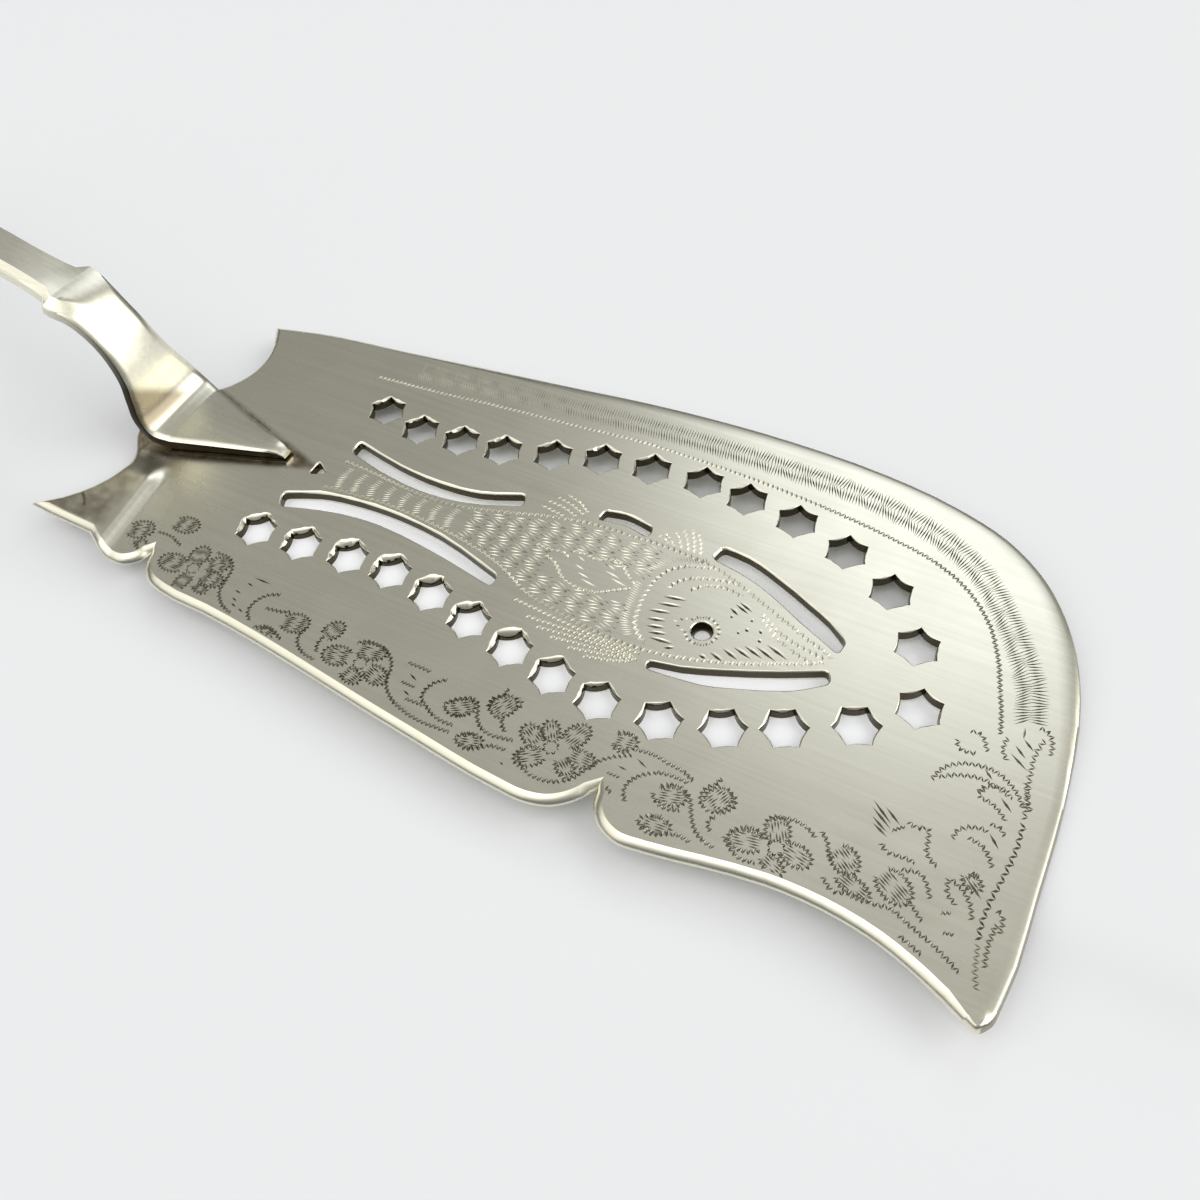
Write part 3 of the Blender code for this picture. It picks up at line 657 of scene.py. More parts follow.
frontBorder = {
    "noseX": 139,       # from here on the strokes back are bolder
    "short": 3,         # lines this short have finer teeth
    "dashWidths": (1.15, 1.45), "roseRadius": 1.1, "roseDark": 1.0,
    "stemPitch": 0.9, "stemSwing": 1.1, "stemBack": 0.9,
    "wriggles": (
        ((-6.5, -22.5), (-4, -24), (-2, -26)), ((13, -24.2), (16, -24), (19, -25)),
        ((26, -23.5), (29.5, -23.8), (31, -25.5), (31.5, -28), (32, -30), (34, -32), (37, -33)),
        ((42.2, -26.2), (40, -27.5), (39, -29.5), (39.2, -31.5), (41, -33)),
        ((42, -33.5), (45, -32.6), (48, -33.8)), ((41.5, -29.6), (44, -29.2), (46, -28.5)),
        ((50.2, -30), (50.2, -32), (51, -33.3), (53, -34.3), (55.4, -34.6)),
        ((54, -30), (54, -32), (54.8, -33.3)),
        ((59.8, -29), (61, -28), (63, -27.8), (66, -28.8), (67.5, -30.5), (68, -32.5), (69, -34),
         (71, -35.5), (73, -36.2), (76, -36.8), (82.5, -36.6)),
        ((69.5, -28.6), (74, -28.6)), ((70.5, -32.1), (73, -32.1)), ((72.8, -34.5), (76, -34.3)),
        ((77, -28.7), (75.5, -30), (74.8, -31.5), (75, -33.2), (76.5, -34.2), (78, -35), (80, -35.4),
         (82.5, -35.3)),
        ((78.8, -32.8), (80, -31.3), (81.5, -30.3), (83, -30), (84, -31), (84.5, -32.2), (86, -33.8),
         (88, -34.3), (91.8, -33.7)),
        ((79, -33), (80.5, -33.8), (82, -33.5), (83, -32.7)),
        ((86.5, -26), (86.5, -27.3), (85.3, -28.5), (85.2, -30), (86.5, -31), (88.3, -31.3)),
        ((89.5, -28.8), (89.8, -27.5), (88.5, -27)), ((88.3, -31), (89, -32.3), (90, -33)),
        ((83.5, -37), (84.5, -35.9), (86.5, -35.2)),
        ((83.6, -37.2), (85.5, -38), (87.5, -37.3), (89, -36), (91.6, -35.6)),
        ((93.3, -35), (94.5, -36.5), (96.5, -37.5), (98.5, -37.6), (101, -37), (103, -35.2), (104, -33),
         (105, -31.3), (107, -29.5), (109, -28.3)),
        ((105, -26), (106.5, -25.2), (108.5, -25.5)), ((105.5, -28), (107, -28.7), (108.5, -27.8)),
        ((109, -27.3), (112, -26.9), (114, -27.3), (116.5, -27.5), (118.8, -28.4)),
        ((105.4, -34.8), (107, -34.3), (109, -35.2)), ((107, -32.4), (109, -32.4)),
        ((118.3, -29), (116, -28.9), (114, -29.2), (112.5, -30), (111, -31.5), (110.4, -33), (110.6, -34.5),
         (111.6, -35.5)),
        ((114.7, -31.3), (116, -30.3), (117.5, -30), (119, -30.6), (120, -31.8), (120.8, -33.3), (122, -35),
         (123.5, -36), (126, -36.6)),
        ((114.3, -32.5), (115.5, -33.7), (117, -34), (119.3, -33.3)),
        ((114.2, -37), (115.5, -36), (117.5, -35.3)),
        ((114.3, -37.2), (116, -38.4), (118, -38), (120, -37), (122.8, -37.2)),
        ((122.3, -26.2), (122, -27.3), (121, -28.5), (120.7, -29.8), (121, -30.8), (123, -31.7),
         (124.5, -31)),
        ((124.2, -27.8), (125.3, -28.3), (125.7, -29.5), (124.2, -31.5)),
        ((124, -32), (123.3, -33), (124.2, -34.6)),
        ((126.5, -33.5), (128, -32), (130, -31.5), (131.5, -32.3)),
        ((126.2, -34.3), (128, -35.8), (130, -36.4), (132, -36)),
        ((131, -29.3), (132.5, -28.2), (134.5, -27.9), (136.5, -28.4), (137.8, -29.2)),
        ((138, -27.8), (139.3, -29), (140, -30.5), (141, -31.5)),
        ((140.5, -34), (142.5, -35.3), (145, -34.5), (148, -34.7), (150, -34.3), (152, -35), (154, -35.7),
         (157, -36.8), (161, -38.8)),
        ((152.3, -37.3), (156, -38.6)), ((149.5, -28.5), (152, -28), (153.5, -29.3), (154.3, -31)),
        ((151.5, -32), (154.5, -34.3)),
        ((148, -21.5), (149.5, -21.8), (150.8, -21.2), (151.3, -22.5), (151.5, -24), (152.5, -25.5),
         (154, -26.2)),
        ((145.8, -26), (147, -26.9), (149, -26.7), (151, -26.8)), ((146.5, -23.6), (148, -22.2)),
        ((159.8, 0.5), (160.8, 0.6), (161.8, -0.4), (162.3, -1.8), (162.4, -3.4)),
        ((156.3, -2.8), (156.2, -5), (157.5, -6.8)), ((151.2, -4), (152.5, -3.8), (154.5, -6.3)),
        ((150, -6), (150.5, -7.3), (152, -7.5), (153.3, -7)),
        ((148.8, -13.8), (149.3, -12), (151, -10), (153.5, -9), (156, -8.8), (158.5, -9.8), (160, -11),
         (161.5, -13)),
        ((149.5, -13), (152, -11.5), (154.5, -10.8), (160, -12)),
        ((155.8, -12), (155.3, -13.5), (157, -13.8), (159, -15), (160, -16)),
        ((154.2, -21.3), (154.3, -20), (155.5, -18.7), (157, -18.2), (158.5, -18.3)),
        ((156, -20.2), (158, -20.6), (159.5, -22), (160.3, -23.5)),
        ((157.7, -25.8), (158.5, -25), (159.5, -25)), ((155.5, -27), (156, -29), (157.5, -30.3)),
        ((155.8, -27), (158, -28), (159.5, -30), (160, -31.5)),
        ((162.4, -28.6), (163.1, -28.8), (163.6, -30), (163.6, -31.6)),
        ((163, -30.4), (162.8, -32.4), (162.9, -34.4), (163.4, -37)),
        ((160.6, -8.8), (161.4, -11), (162.4, -13)),
        ((155.2, -13.2), (155.6, -11.9), (157.3, -11.1), (159.3, -11.3)),
        ((158, -17), (159.3, -17), (160.4, -18)), ((156.1, -32.1), (157.5, -31.3)),
        ((157.2, -34.5), (158.7, -34.1)),
    ),
    # the stem: knots, darkness, boldness
    "stem": (
        (((161, -1), (160.5, -4), (160.8, -8), (161.5, -12), (162, -15)), 0.7, 1.15),
        (((162, -15), (162.2, -20), (161.8, -24), (161.3, -28), (161.3, -32), (161.6, -34)), 0.78, 1.45),
        (((161.6, -34), (161.9, -35.5), (162.5, -38), (163.4, -40.2)), 0.6, 0.95),
    ),
    # centre, half length, half width, direction
    "petals": (
        (9.8, -25, 2.5, 1.9, 20), (16.8, -20.8, 2.6, 1.7, 5), (12.2, -27.6, 1.9, 0.9, -18),
        (20.3, -28.5, 2.7, 1.8, 180), (23.7, -25.4, 2.1, 1.7, 95),
        (28, -25.7, 2.2, 1.6, 25), (29, -28.6, 2.3, 1.5, -5),
        (24.6, -31, 2.1, 1.2, 265), (28.4, -31, 1.7, 0.8, -10),
        (48, -30, 2.5, 1.8, 12), (54.8, -28.6, 2, 1.5, 70), (44.5, -33.4, 1.7, 0.8, 350),
        (62.9, -29.4, 2.6, 1.5, 10), (58.2, -32.3, 2.5, 1.8, 190),
        (66, -32.8, 2.3, 1.5, 345), (62.5, -34.6, 2, 1.2, 350),
        (81.6, -32.1, 2.2, 1.5, 30), (87.4, -29.2, 2.2, 1.8, 60), (85.9, -36.5, 2, 1.2, 15),
        (93.9, -31.7, 2.1, 1.5, 150), (96.2, -29.9, 1.9, 1.3, 125),
        (100, -29, 2.4, 1.7, 65), (102.5, -32.1, 2.2, 1.4, 0),
        (95.4, -35, 2.4, 1.6, 215), (101, -34.4, 2, 1.2, 325),
        (107, -26.8, 1.9, 1.3, 10), (117, -31.9, 2.2, 1.5, 15),
        (117, -36.8, 2.2, 1.2, 5), (123.2, -29.5, 2.1, 1.8, 65),
        (129.3, -33.6, 2.5, 1.6, 190), (132.6, -30.4, 2.3, 1.7, 120),
        (136.2, -32.7, 2.3, 1.6, 350), (133.8, -35.3, 2, 1.1, 340),
        (142.3, -30.4, 2.3, 1.8, -35), (149.5, -31.2, 2.8, 2, -30), (144.6, -33.5, 2.8, 1.2, -18),
        (158.4, -26.2, 1.6, 1.1, -38),
    ),
    "roseEyes": ((24.5, -28), (62.5, -32), (97.5, -32.3), (133.4, -32.8)),
    "dashes": (
        ((36, -25.2), (39, -25.2)), ((35.4, -26.6), (36.6, -26.8)), ((34.4, -28.7), (35.6, -28.9)),
        ((35, -30.2), (36, -30.5)), ((35.6, -31.2), (36.6, -31.5)), ((37.4, -31.6), (38.4, -31.9)),
        ((71, -30.3), (72.5, -30.9)), ((71.8, -33.3), (73, -33.7)), ((110, -28.6), (111.7, -29.3)),
        ((108, -30.8), (109.3, -30.9)), ((106.3, -33.3), (108, -34)), ((92, -37.7), (92.5, -37.9)),
        ((143, -20.5), (145.8, -22.5)), ((143.2, -21.5), (146, -23.3)), ((143.6, -22.8), (145.7, -24)),
        ((144, -23.7), (146, -24.7)), ((144.8, -20.7), (147, -22.2)), ((157.7, -3.7), (159.3, -5)),
        ((157.5, -5.2), (160, -6.8)), ((158.5, -2.2), (160, -3.4)), ((158, -0.3), (158.3, -2)),
        ((155, -9.2), (156.2, -10.2)), ((158.3, -12.6), (160, -14)), ((158.5, -18.5), (160, -20)),
        ((157.7, -26), (160, -27.8)),
    ),
}
for knots in frontBorder["wriggles"]:
    manner = "noseLine" if knots[0][0] >= frontBorder["noseX"] else "heelLine"
    if len(knots) == 2 and math.dist(*knots) < frontBorder["short"]:
        manner = "shortLine"
    wriggle(knots, engraving["frontDark"], *rocking[manner])
for knots, dark, width in frontBorder["stem"]:
    pitch = frontBorder["stemPitch"] * width
    wriggle(knots, dark, pitch, frontBorder["stemSwing"], width, frontBorder["stemBack"])
for shape in frontBorder["petals"]:
    petal(*shape)
for x, y in frontBorder["roseEyes"]:
    radius = frontBorder["roseRadius"]
    ring = [(x + radius * math.cos(a), y + radius * math.sin(a)) for a in ringAngles + [0]]
    wriggle(ring, frontBorder["roseDark"], *rocking["roseEye"])
for start, end in frontBorder["dashes"]:
    width = frontBorder["dashWidths"][start[0] >= frontBorder["noseX"]]
    dash(start, end, width, engraving["frontDark"])
print("engraved cuts drawn:", len(cuts))


# Which points lie inside a closed outline.
def insideLoop(points, loop):
    x, y = np.asarray(points)[:, 0], np.asarray(points)[:, 1]
    inside = np.zeros(len(x), bool)
    for i, b in enumerate(loop):
        a = loop[i - 1]
        if a[1] != b[1]:
            crosses = (a[1] > y) != (b[1] > y)
            inside ^= crosses & (x < a[0] + (y - a[1]) * (b[0] - a[0]) / (b[1] - a[1]))
    return inside


# A groove's ends and sides in turn, then its deepest point.
def cutCorners(groove):
    a, b, aside, dark = groove
    middle = (a + b) / 2
    return [a, middle - aside, b, middle + aside, middle + aside * engraving["tilt"]]


# Cuts that would run into a piercing's lip or over the rim are left out.
corners = np.array([[tuple(p) for p in cutCorners(groove)] for groove in cuts])
fits = insideLoop(corners.reshape(-1, 2), topLoop)
for lip, edge in holes:
    fits &= ~insideLoop(corners.reshape(-1, 2), lip)
cuts = [groove for groove, good in zip(cuts, fits.reshape(-1, corners.shape[1]).all(1)) if good]
print("engraved cuts kept:", len(cuts))

cell = engraving["cell"]
cutsNear = {}
for groove in cuts:
    a, b = groove[:2]
    for i in range(int(min(a.x, b.x) // cell), int(max(a.x, b.x) // cell) + 1):
        for j in range(int(min(a.y, b.y) // cell), int(max(a.y, b.y) // cell) + 1):
            cutsNear.setdefault((i, j), []).append(groove)


# How deep the engraving is at a place, and how dark.
def cutAt(x, y):
    deepest, shade = 0.0, 0.0
    tilt = engraving["tilt"]
    for a, b, aside, dark in cutsNear.get((int(x // cell), int(y // cell)), ()):
        half = (b - a) / 2
        dx, dy = x - (a.x + b.x) / 2, y - (a.y + b.y) / 2
        t = abs(dx * half.x + dy * half.y) / half.length_squared
        s = (dx * aside.x + dy * aside.y) / aside.length_squared
        share = min((1 - t - s) / (1 - tilt), (1 - t + s) / (1 + tilt))
        depth = share * 2 * aside.length * engraving["cutDepth"]
        if depth > deepest:
            deepest, shade = depth, dark
    return deepest, shade


# One face of the blade, with its grooves and the lines along the bend worked into it.
def flatSheet(name, loops, grooves, z, bend):
    points, edges, faces = [], [], []
    for loop in loops:
        faces.append(list(range(len(points), len(points) + len(loop))))
        points += [Vector(p) for p in loop]
    for groove in grooves:
        n = len(points)
        points += cutCorners(groove)
        edges += [(n, n + 1), (n + 1, n + 2), (n + 2, n + 3), (n + 3, n), (n, n + 4), (n + 4, n + 2)]
    for line in bend:
        n = len(points)
        points += line
        edges += [(i, i + 1) for i in range(n, n + len(line) - 1)]
    worked = delaunay_2d_cdt(points, edges, faces, 0, meshing["sheetMerge"])
    flat, faces, fromFaces = worked[0], worked[2], worked[5]
    kept = [face for face, source in zip(faces, fromFaces) if list(source) == [0]]
    data = bpy.data.meshes.new(name)
    depths = [cutAt(p.x, p.y)[0] if grooves else 0 for p in flat]
    data.from_pydata([bladePoint(p, z - depth) for p, depth in zip(flat, depths)], [], kept)
    shades = []
    for face in kept:
        middle = sum((flat[i] for i in face), Vector((0, 0))) / len(face)
        depth, shade = cutAt(middle.x, middle.y) if grooves else (0, 0)
        shades.append(shade if depth > engraving["leastDepth"] else 0.0)
    setPatinaAndShade(data, shades)
    sheet = bpy.data.objects.new(name, data)
    bpy.context.collection.objects.link(sheet)
    activate([sheet])
    bpy.ops.object.mode_set(mode="EDIT")
    bpy.ops.mesh.select_all(action="SELECT")
    bpy.ops.mesh.delete_loose()
    bpy.ops.object.mode_set(mode="OBJECT")
    return sheet


# Lines along the heel's bend, so that both faces turn there.
bendLines = []
withinTop = movedIn(topLoop, [bladeShape["bendClear"]] * len(topLoop))
for k in range(*bladeShape["bendLines"]):
    behind = bladeShape["bendLength"] * k / bladeShape["bendParts"] * math.hypot(1, bladeShape["bendSkew"])
    line = []
    for y in np.arange(*bladeShape["bendAcross"]):
        line.append(Vector((bladeShape["bendX"] - behind - bladeShape["bendSkew"] * y, y)))
    good = insideLoop([(p.x, p.y) for p in line], withinTop)
    bendLines += [[p, q] for p, q, a, b in zip(line, line[1:], good, good[1:]) if a and b]

top = flatSheet("blade_top", [topLoop] + [lip for lip, edge in holes], cuts, bladeShape["thick"], bendLines)
bottom = flatSheet("blade_under", [underLoop] + [edge for lip, edge in holes], [], 0.0, bendLines)
print("blade faces:", len(top.data.polygons), "above,", len(bottom.data.polygons), "below")
activate([rim, top, bottom] + wallPieces)
bpy.ops.object.join()
blade = rim
blade.name = blade.data.name = "engraved_blade"
finished(blade, bladeShape["smooth"])
loose = bmesh.new()
loose.from_mesh(blade.data)
print("blade edges left open:", sum(not edge.is_manifold for edge in loose.edges))
loose.free()


handleShape = {
    "smooth": 28,
    "footLength": 24, "footWidth": 16.6, "footThick": 2.7, "pointWidth": 1.8, "pointThick": 1.7, "seat": 0.55,
    "pointDrop": 0.62, "pointRound": (0.88, 1),     # the foot rounds down to its point
    "footShares": (0.99, 0.975, 0.94, 0.88, 0.8, 0.6, 0.4, 0.22, 0.1),      # where its sections lie
    "levelShare": 0.2,      # from here to the point they stand upright
    "stemRise": 27.9, "stemLean": 15.6, "stemWaist": 10.5, "stemThick": 2.5, "shoulderWidth": 12.2,
    "shaftLength": 77, "shaftClimb": 15.2, "shaftWidth": 7.8, "shaftThick": 3.3,
    "fiddleLength": 60.4, "fiddleDrop": 5.4, "fiddleWidth": 21.4, "fiddleThick": 2.4,
    "shoulderThick": 0.7, "fiddleThin": 0.3,        # how soon the shaft's thickness comes and goes
    "stemTurn": (4, 0.5), "shaftTurn": (3, 4),      # most turn and most step between sections
    # for each knot: shares of the length, of the rise or drop, and of the width, which on the stem goes from
    # 0 at the foot to 1 at the waist and 2 at the shoulders
    "stemCurve": ((0.03, 0.15, 0), (0.12, 0.22, 0.07), (0.17, 0.32, 0.36), (0.22, 0.45, 0.72),
                  (0.3, 0.58, 0.92), (0.4, 0.7, 1), (0.56, 0.82, 1), (0.74, 0.92, 1.4), (0.91, 0.98, 2),
                  (1, 1, 2)),
    "shaftCurve": ((0.02, 0.04, 1.13), (0.05, 0.09, 1.06), (0.23, 0.36, 1.03), (0.47, 0.66, 0.97),
                   (0.73, 0.88, 1.01), (0.92, 0.97, 1.13), (1, 1, 1.33)),
    "fiddleCurve": ((0.05, -0.02, 0.68), (0.1, -0.03, 0.78), (0.34, 0.02, 0.91), (0.59, 0.24, 1),
                    (0.79, 0.56, 0.95), (0.9, 0.78, 0.78), (0.97, 0.93, 0.53), (1, 1, 0.23)),
    "crown": 0.3, "crownLeast": 0.25,   # how far the face falls to its edges, as a share of the thickness
    "faceShares": (0.85, 0.65, 0.45, 0.25, 0.1),
    "edgeRound": 0.75, "edgeSoft": 2.0,     # on the foot and the stem the round is this much wider than deep
    "edgeLess": 0.6, "edgeDeepest": 0.35, "edgeWidest": 0.3, "edgeShares": (0.3, 0.7, 1),
    "underRound": 0.3, "underMost": 0.4, "underShare": 0.3,     # the lower edges are rounded a little
    "ridgeAside": 0.66,     # on the shaft the ridge lies towards the front, by this share of half the width
    "ridgeStem": (0.5, 1), "ridgeShaft": (0.75, 1),     # it rises along the stem and goes again on the shaft
    "sideFlat": 0.85, "sideX": (-20, -3),       # the sides get painted shade, a dark painted reflection with some tarnish, at the foot only
}


# The handle from the foot's point to the fiddle end: place, width, thickness and how ridged it is.
def strapStations():
    s = handleShape
    foot = []
    for share in s["footShares"]:
        thick = between(s["footThick"], s["pointThick"], share)
        thick *= 1 - s["pointDrop"] * fade(share, *s["pointRound"]) ** 2
        width = between(s["footWidth"], s["pointWidth"], share)
        foot.append((share * s["footLength"], s["seat"] + thick, width, thick, 0.0))
    stem = []
    for lean, rise, wide in s["stemCurve"]:
        pastWaist = max(wide - 1, 0)
        width = between(s["footWidth"], s["stemWaist"], min(wide, 1))
        width += (s["shoulderWidth"] - s["stemWaist"]) * pastWaist
        thick = between(s["stemThick"], s["shaftThick"], pastWaist * s["shoulderThick"])
        stem.append((-lean * s["stemLean"], rise * s["stemRise"], width, thick, fade(lean, *s["ridgeStem"])))
    shaft = []
    for far, climb, wide in s["shaftCurve"]:
        x, z = -s["stemLean"] - far * s["shaftLength"], s["stemRise"] + climb * s["shaftClimb"]
        shaft.append((x, z, wide * s["shaftWidth"], s["shaftThick"], 1 - fade(far, *s["ridgeShaft"])))
    end, rise = s["stemLean"] + s["shaftLength"], s["stemRise"] + s["shaftClimb"]
    fiddle = []
    for far, drop, wide in s["fiddleCurve"]:
        thick = between(s["shaftThick"], s["fiddleThick"], min(1, s["fiddleThin"] + far))
        x, z = -end - far * s["fiddleLength"], rise - drop * s["fiddleDrop"]
        fiddle.append((x, z, wide * s["fiddleWidth"], thick, 0.0))
    upright = throughKnots(foot[-1:] + stem, *s["stemTurn"])
    return foot[:-1] + upright + throughKnots(shaft + fiddle, *s["shaftTurn"])


# A section of the strap, from its lower left edge over the top: rounded edges, and a ridge or a soft crown.
def strapSection(width, thick, ridge):
    s = handleShape
    half, ease = width / 2, min(s["underRound"], s["underMost"] * thick)
    edge = min(s["edgeRound"] * (1 - s["edgeLess"] * ridge), s["edgeDeepest"] * thick)
    wide = min(edge * between(1, s["edgeSoft"], 1 - ridge), s["edgeWidest"] * half)
    fall = s["crown"] * thick * between(s["crownLeast"], 1, ridge)
    small = s["underShare"] * ease
    right = [(half - ease, -thick), (half - small, small - thick), (half, ease - thick), (half, -fall - edge)]
    for share in s["edgeShares"]:
        a = share * math.pi / 2
        right.append((half - wide + wide * math.cos(a), -fall - edge + edge * math.sin(a)))
    inner, middle = half - wide, -s["ridgeAside"] * ridge * half
    left = [(-y, n) for y, n in right]
    for share in s["faceShares"]:
        drop = -fall * (ridge * share + (1 - ridge) * share ** 2)
        right.append((middle + share * (inner - middle), drop))
        left.append((middle - share * (inner + middle), drop))
    return left + [(middle, 0)] + right[::-1]


stations = strapStations()
strapRings = []
for i, (x, z, width, thick, ridge) in enumerate(stations):
    before, after = stations[max(i - 1, 0)], stations[min(i + 1, len(stations) - 1)]
    back = Vector((after[0] - before[0], after[1] - before[1])).normalized()
    onFoot = x >= handleShape["footLength"] * handleShape["levelShare"]
    up = Vector((0, 1)) if onFoot else Vector((back.y, -back.x))
    strapRings.append([place(x + n * up.x, y, bladeShape["thick"] + z + n * up.y)
                       for y, n in strapSection(width, thick, ridge)])
handle = finished(ringStack("strap_handle", strapRings, capped=True), handleShape["smooth"])
# The flat sides near the foot are painted dark: a painted reflection, with some tarnish.
sides = []
for face in handle.data.polygons:
    x = face.center.x / mm + drawing["originX"]
    onSide = abs(face.normal.y) > handleShape["sideFlat"]
    sides.append(fade(x, *handleShape["sideX"]) if onSide else 0.0)
setPatinaAndShade(handle.data, sides)
print("handle:", len(handle.data.polygons), "faces")


solderShape = {
    "smooth": 75, "steps": 12,
    "back": 2.0, "margin": 0.5, "shake": (0.75, 1.0),
    "thinner": 0.6, "pointMargin": 0.4, "pointLift": 0.3,       # it narrows towards the foot's point
    "levels": ((0.02, 1.0), (0.12, 0.75), (0.24, 0.52), (0.38, 0.36), (0.5, 0.3)),      # height, spread
}
solderRings = []
for lift, spread in solderShape["levels"]:
    ring = []
    for side in (-1, 1):
        for k in range(solderShape["steps"] + 1):
            share = k / solderShape["steps"] if side < 0 else 1 - k / solderShape["steps"]
            x = between(solderShape["back"], handleShape["footLength"], share)
            full = between(handleShape["footWidth"], handleShape["pointWidth"], x / handleShape["footLength"])
            margin = solderShape["margin"] * (1 - solderShape["thinner"] * share) * spread
            y = full / 2 + margin * hand.uniform(*solderShape["shake"])
            z = lift
            if share == 1:
                x += solderShape["pointMargin"] * solderShape["margin"] * spread
                z = lift * solderShape["pointLift"]
            ring.append(place(x, side * y, bladeShape["thick"] + z))
    solderRings.append(ring)
solder = finished(ringStack("solder_fillet", solderRings, capped=True), solderShape["smooth"])
print("solder:", len(solder.data.polygons), "faces")


def linear(hexColour):
    channels = [int(hexColour[i:i + 2], 16) / 255 for i in (1, 3, 5)]
    return [c / 12.92 if c <= 0.04045 else ((c + 0.055) / 1.055) ** 2.4 for c in channels] + [1.0]


def addNode(tree, kind, settings=None, links=None):
    node = tree.nodes.new(kind)
    for name, value in (settings or {}).items():
        if isinstance(name, int) or name in node.inputs:
            node.inputs[name].default_value = value
        else:
            setattr(node, name, value)
    for name, socket in (links or {}).items():
        tree.links.new(socket, node.inputs[name])
    return node


def newMaterial(name):
    material = bpy.data.materials.new(name)
    material.use_nodes = True
    tree = material.node_tree
    tree.nodes.clear()
    return material, tree


silverFinish = {
    "clean": "#f4f2e3", "dulled": "#dedbc8", "tarnishAndShade": "#6f5c3a", "cutsAndShade": "#4c4638", "sideShade": "#2b2417",
    "roughness": (0.25, 0.29), "scratchMm": (40, 0.9), "cloudMm": 9, "stainMm": 2.2,
    # darker behind the heel's bend, but not along the wing's edge
    "heelX": (2.2, -2.5), "wingY": (-28.5, -27.7), "heelShare": 0.55,
    # in the hollow where the stem rises from the foot
    "hollowZ": (3.6, 5.4), "hollowTop": (9, 6), "hollowSlant": 0.8, "hollowShare": 0.75,
    # and in a strip along the foot, with tarnish and a painted reflection of the foot's dark side
    "footEdge": 8.3, "footTaper": 0.308, "footReach": (2.2, 0.5), "footShare": 0.85,
}


# How much the blade is darkened: behind the heel's bend, and in a strip beside the foot, where tarnish lies
# with a painted reflection of the foot's dark side.
def tarnishAndShadeShare(tree, coords):
    finish = silverFinish
    ends = addNode(tree, "ShaderNodeSeparateXYZ", None, {0: coords}).outputs
    stains = addNode(tree, "ShaderNodeTexNoise", {"Scale": 1 / (finish["stainMm"] * mm), "Detail": 3.0},
                     {"Vector": coords})
    skewed = addNode(tree, "ShaderNodeMath", {"operation": "MULTIPLY_ADD", 1: bladeShape["bendSkew"]},
                     {0: ends["Y"], 2: ends["X"]})
    originX = drawing["originX"] + bladeShape["bendSkew"] * drawing["originY"]
    start, full = [(x - originX) * mm for x in finish["heelX"]]
    heel = addNode(tree, "ShaderNodeMapRange",
                   {"interpolation_type": "SMOOTHSTEP", "From Min": start, "From Max": full,
                    "To Max": finish["heelShare"]}, {"Value": skewed.outputs[0]})
    start, full = [(y - drawing["originY"]) * mm for y in finish["wingY"]]
    inside = addNode(tree, "ShaderNodeMapRange", {"From Min": start, "From Max": full}, {"Value": ends["Y"]})
    heel = addNode(tree, "ShaderNodeMath", {"operation": "MULTIPLY"},
                   {0: heel.outputs[0], 1: inside.outputs[0]})
    fromMiddle = addNode(tree, "ShaderNodeMath", {"operation": "ADD", 1: drawing["originY"] * mm},
                         {0: ends["Y"]})
    aside = addNode(tree, "ShaderNodeMath", {"operation": "ABSOLUTE"}, {0: fromMiddle.outputs[0]})
    fromFoot = addNode(tree, "ShaderNodeMath", {"operation": "MULTIPLY_ADD", 1: finish["footTaper"]},
                       {0: ends["X"], 2: aside.outputs[0]})
    footEdge = finish["footEdge"] - finish["footTaper"] * drawing["originX"]
    start, full = [(footEdge + reach) * mm for reach in finish["footReach"]]
    foot = addNode(tree, "ShaderNodeMapRange",
                   {"interpolation_type": "SMOOTHSTEP", "From Min": start, "From Max": full,
                    "To Max": finish["footShare"]}, {"Value": fromFoot.outputs[0]})
    both = addNode(tree, "ShaderNodeMath", {"operation": "MAXIMUM"}, {0: heel.outputs[0], 1: foot.outputs[0]})
    uneven = addNode(tree, "ShaderNodeMapRange",
                     {"From Min": 0.3, "From Max": 0.65, "To Min": 0.45, "To Max": 1.1},
                     {"Value": stains.outputs["Fac"]})
    return addNode(tree, "ShaderNodeMath", {"operation": "MULTIPLY", "use_clamp": True},
                   {0: both.outputs[0], 1: uneven.outputs[0]}).outputs[0]


# On the handle, it is darker across the hollow where the stem meets the foot.
def hollowShare(tree, coords):
    finish = silverFinish
    ends = addNode(tree, "ShaderNodeSeparateXYZ", None, {0: coords}).outputs
    start, full = [(bladeShape["thick"] + z) * mm for z in finish["hollowZ"]]
    above = addNode(tree, "ShaderNodeMapRange",
                    {"interpolation_type": "SMOOTHSTEP", "From Min": start, "From Max": full,
                     "To Max": finish["hollowShare"]}, {"Value": ends["Z"]})
    slanted = addNode(tree, "ShaderNodeMath", {"operation": "MULTIPLY_ADD", 1: finish["hollowSlant"]},
                      {0: ends["Y"], 2: ends["Z"]})
    level = bladeShape["thick"] - finish["hollowSlant"] * drawing["originY"]
    start, full = [(z + level) * mm for z in finish["hollowTop"]]
    below = addNode(tree, "ShaderNodeMapRange",
                    {"interpolation_type": "SMOOTHSTEP", "From Min": start, "From Max": full},
                    {"Value": slanted.outputs[0]})
    return addNode(tree, "ShaderNodeMath", {"operation": "MULTIPLY"},
                   {0: above.outputs[0], 1: below.outputs[0]}).outputs[0]
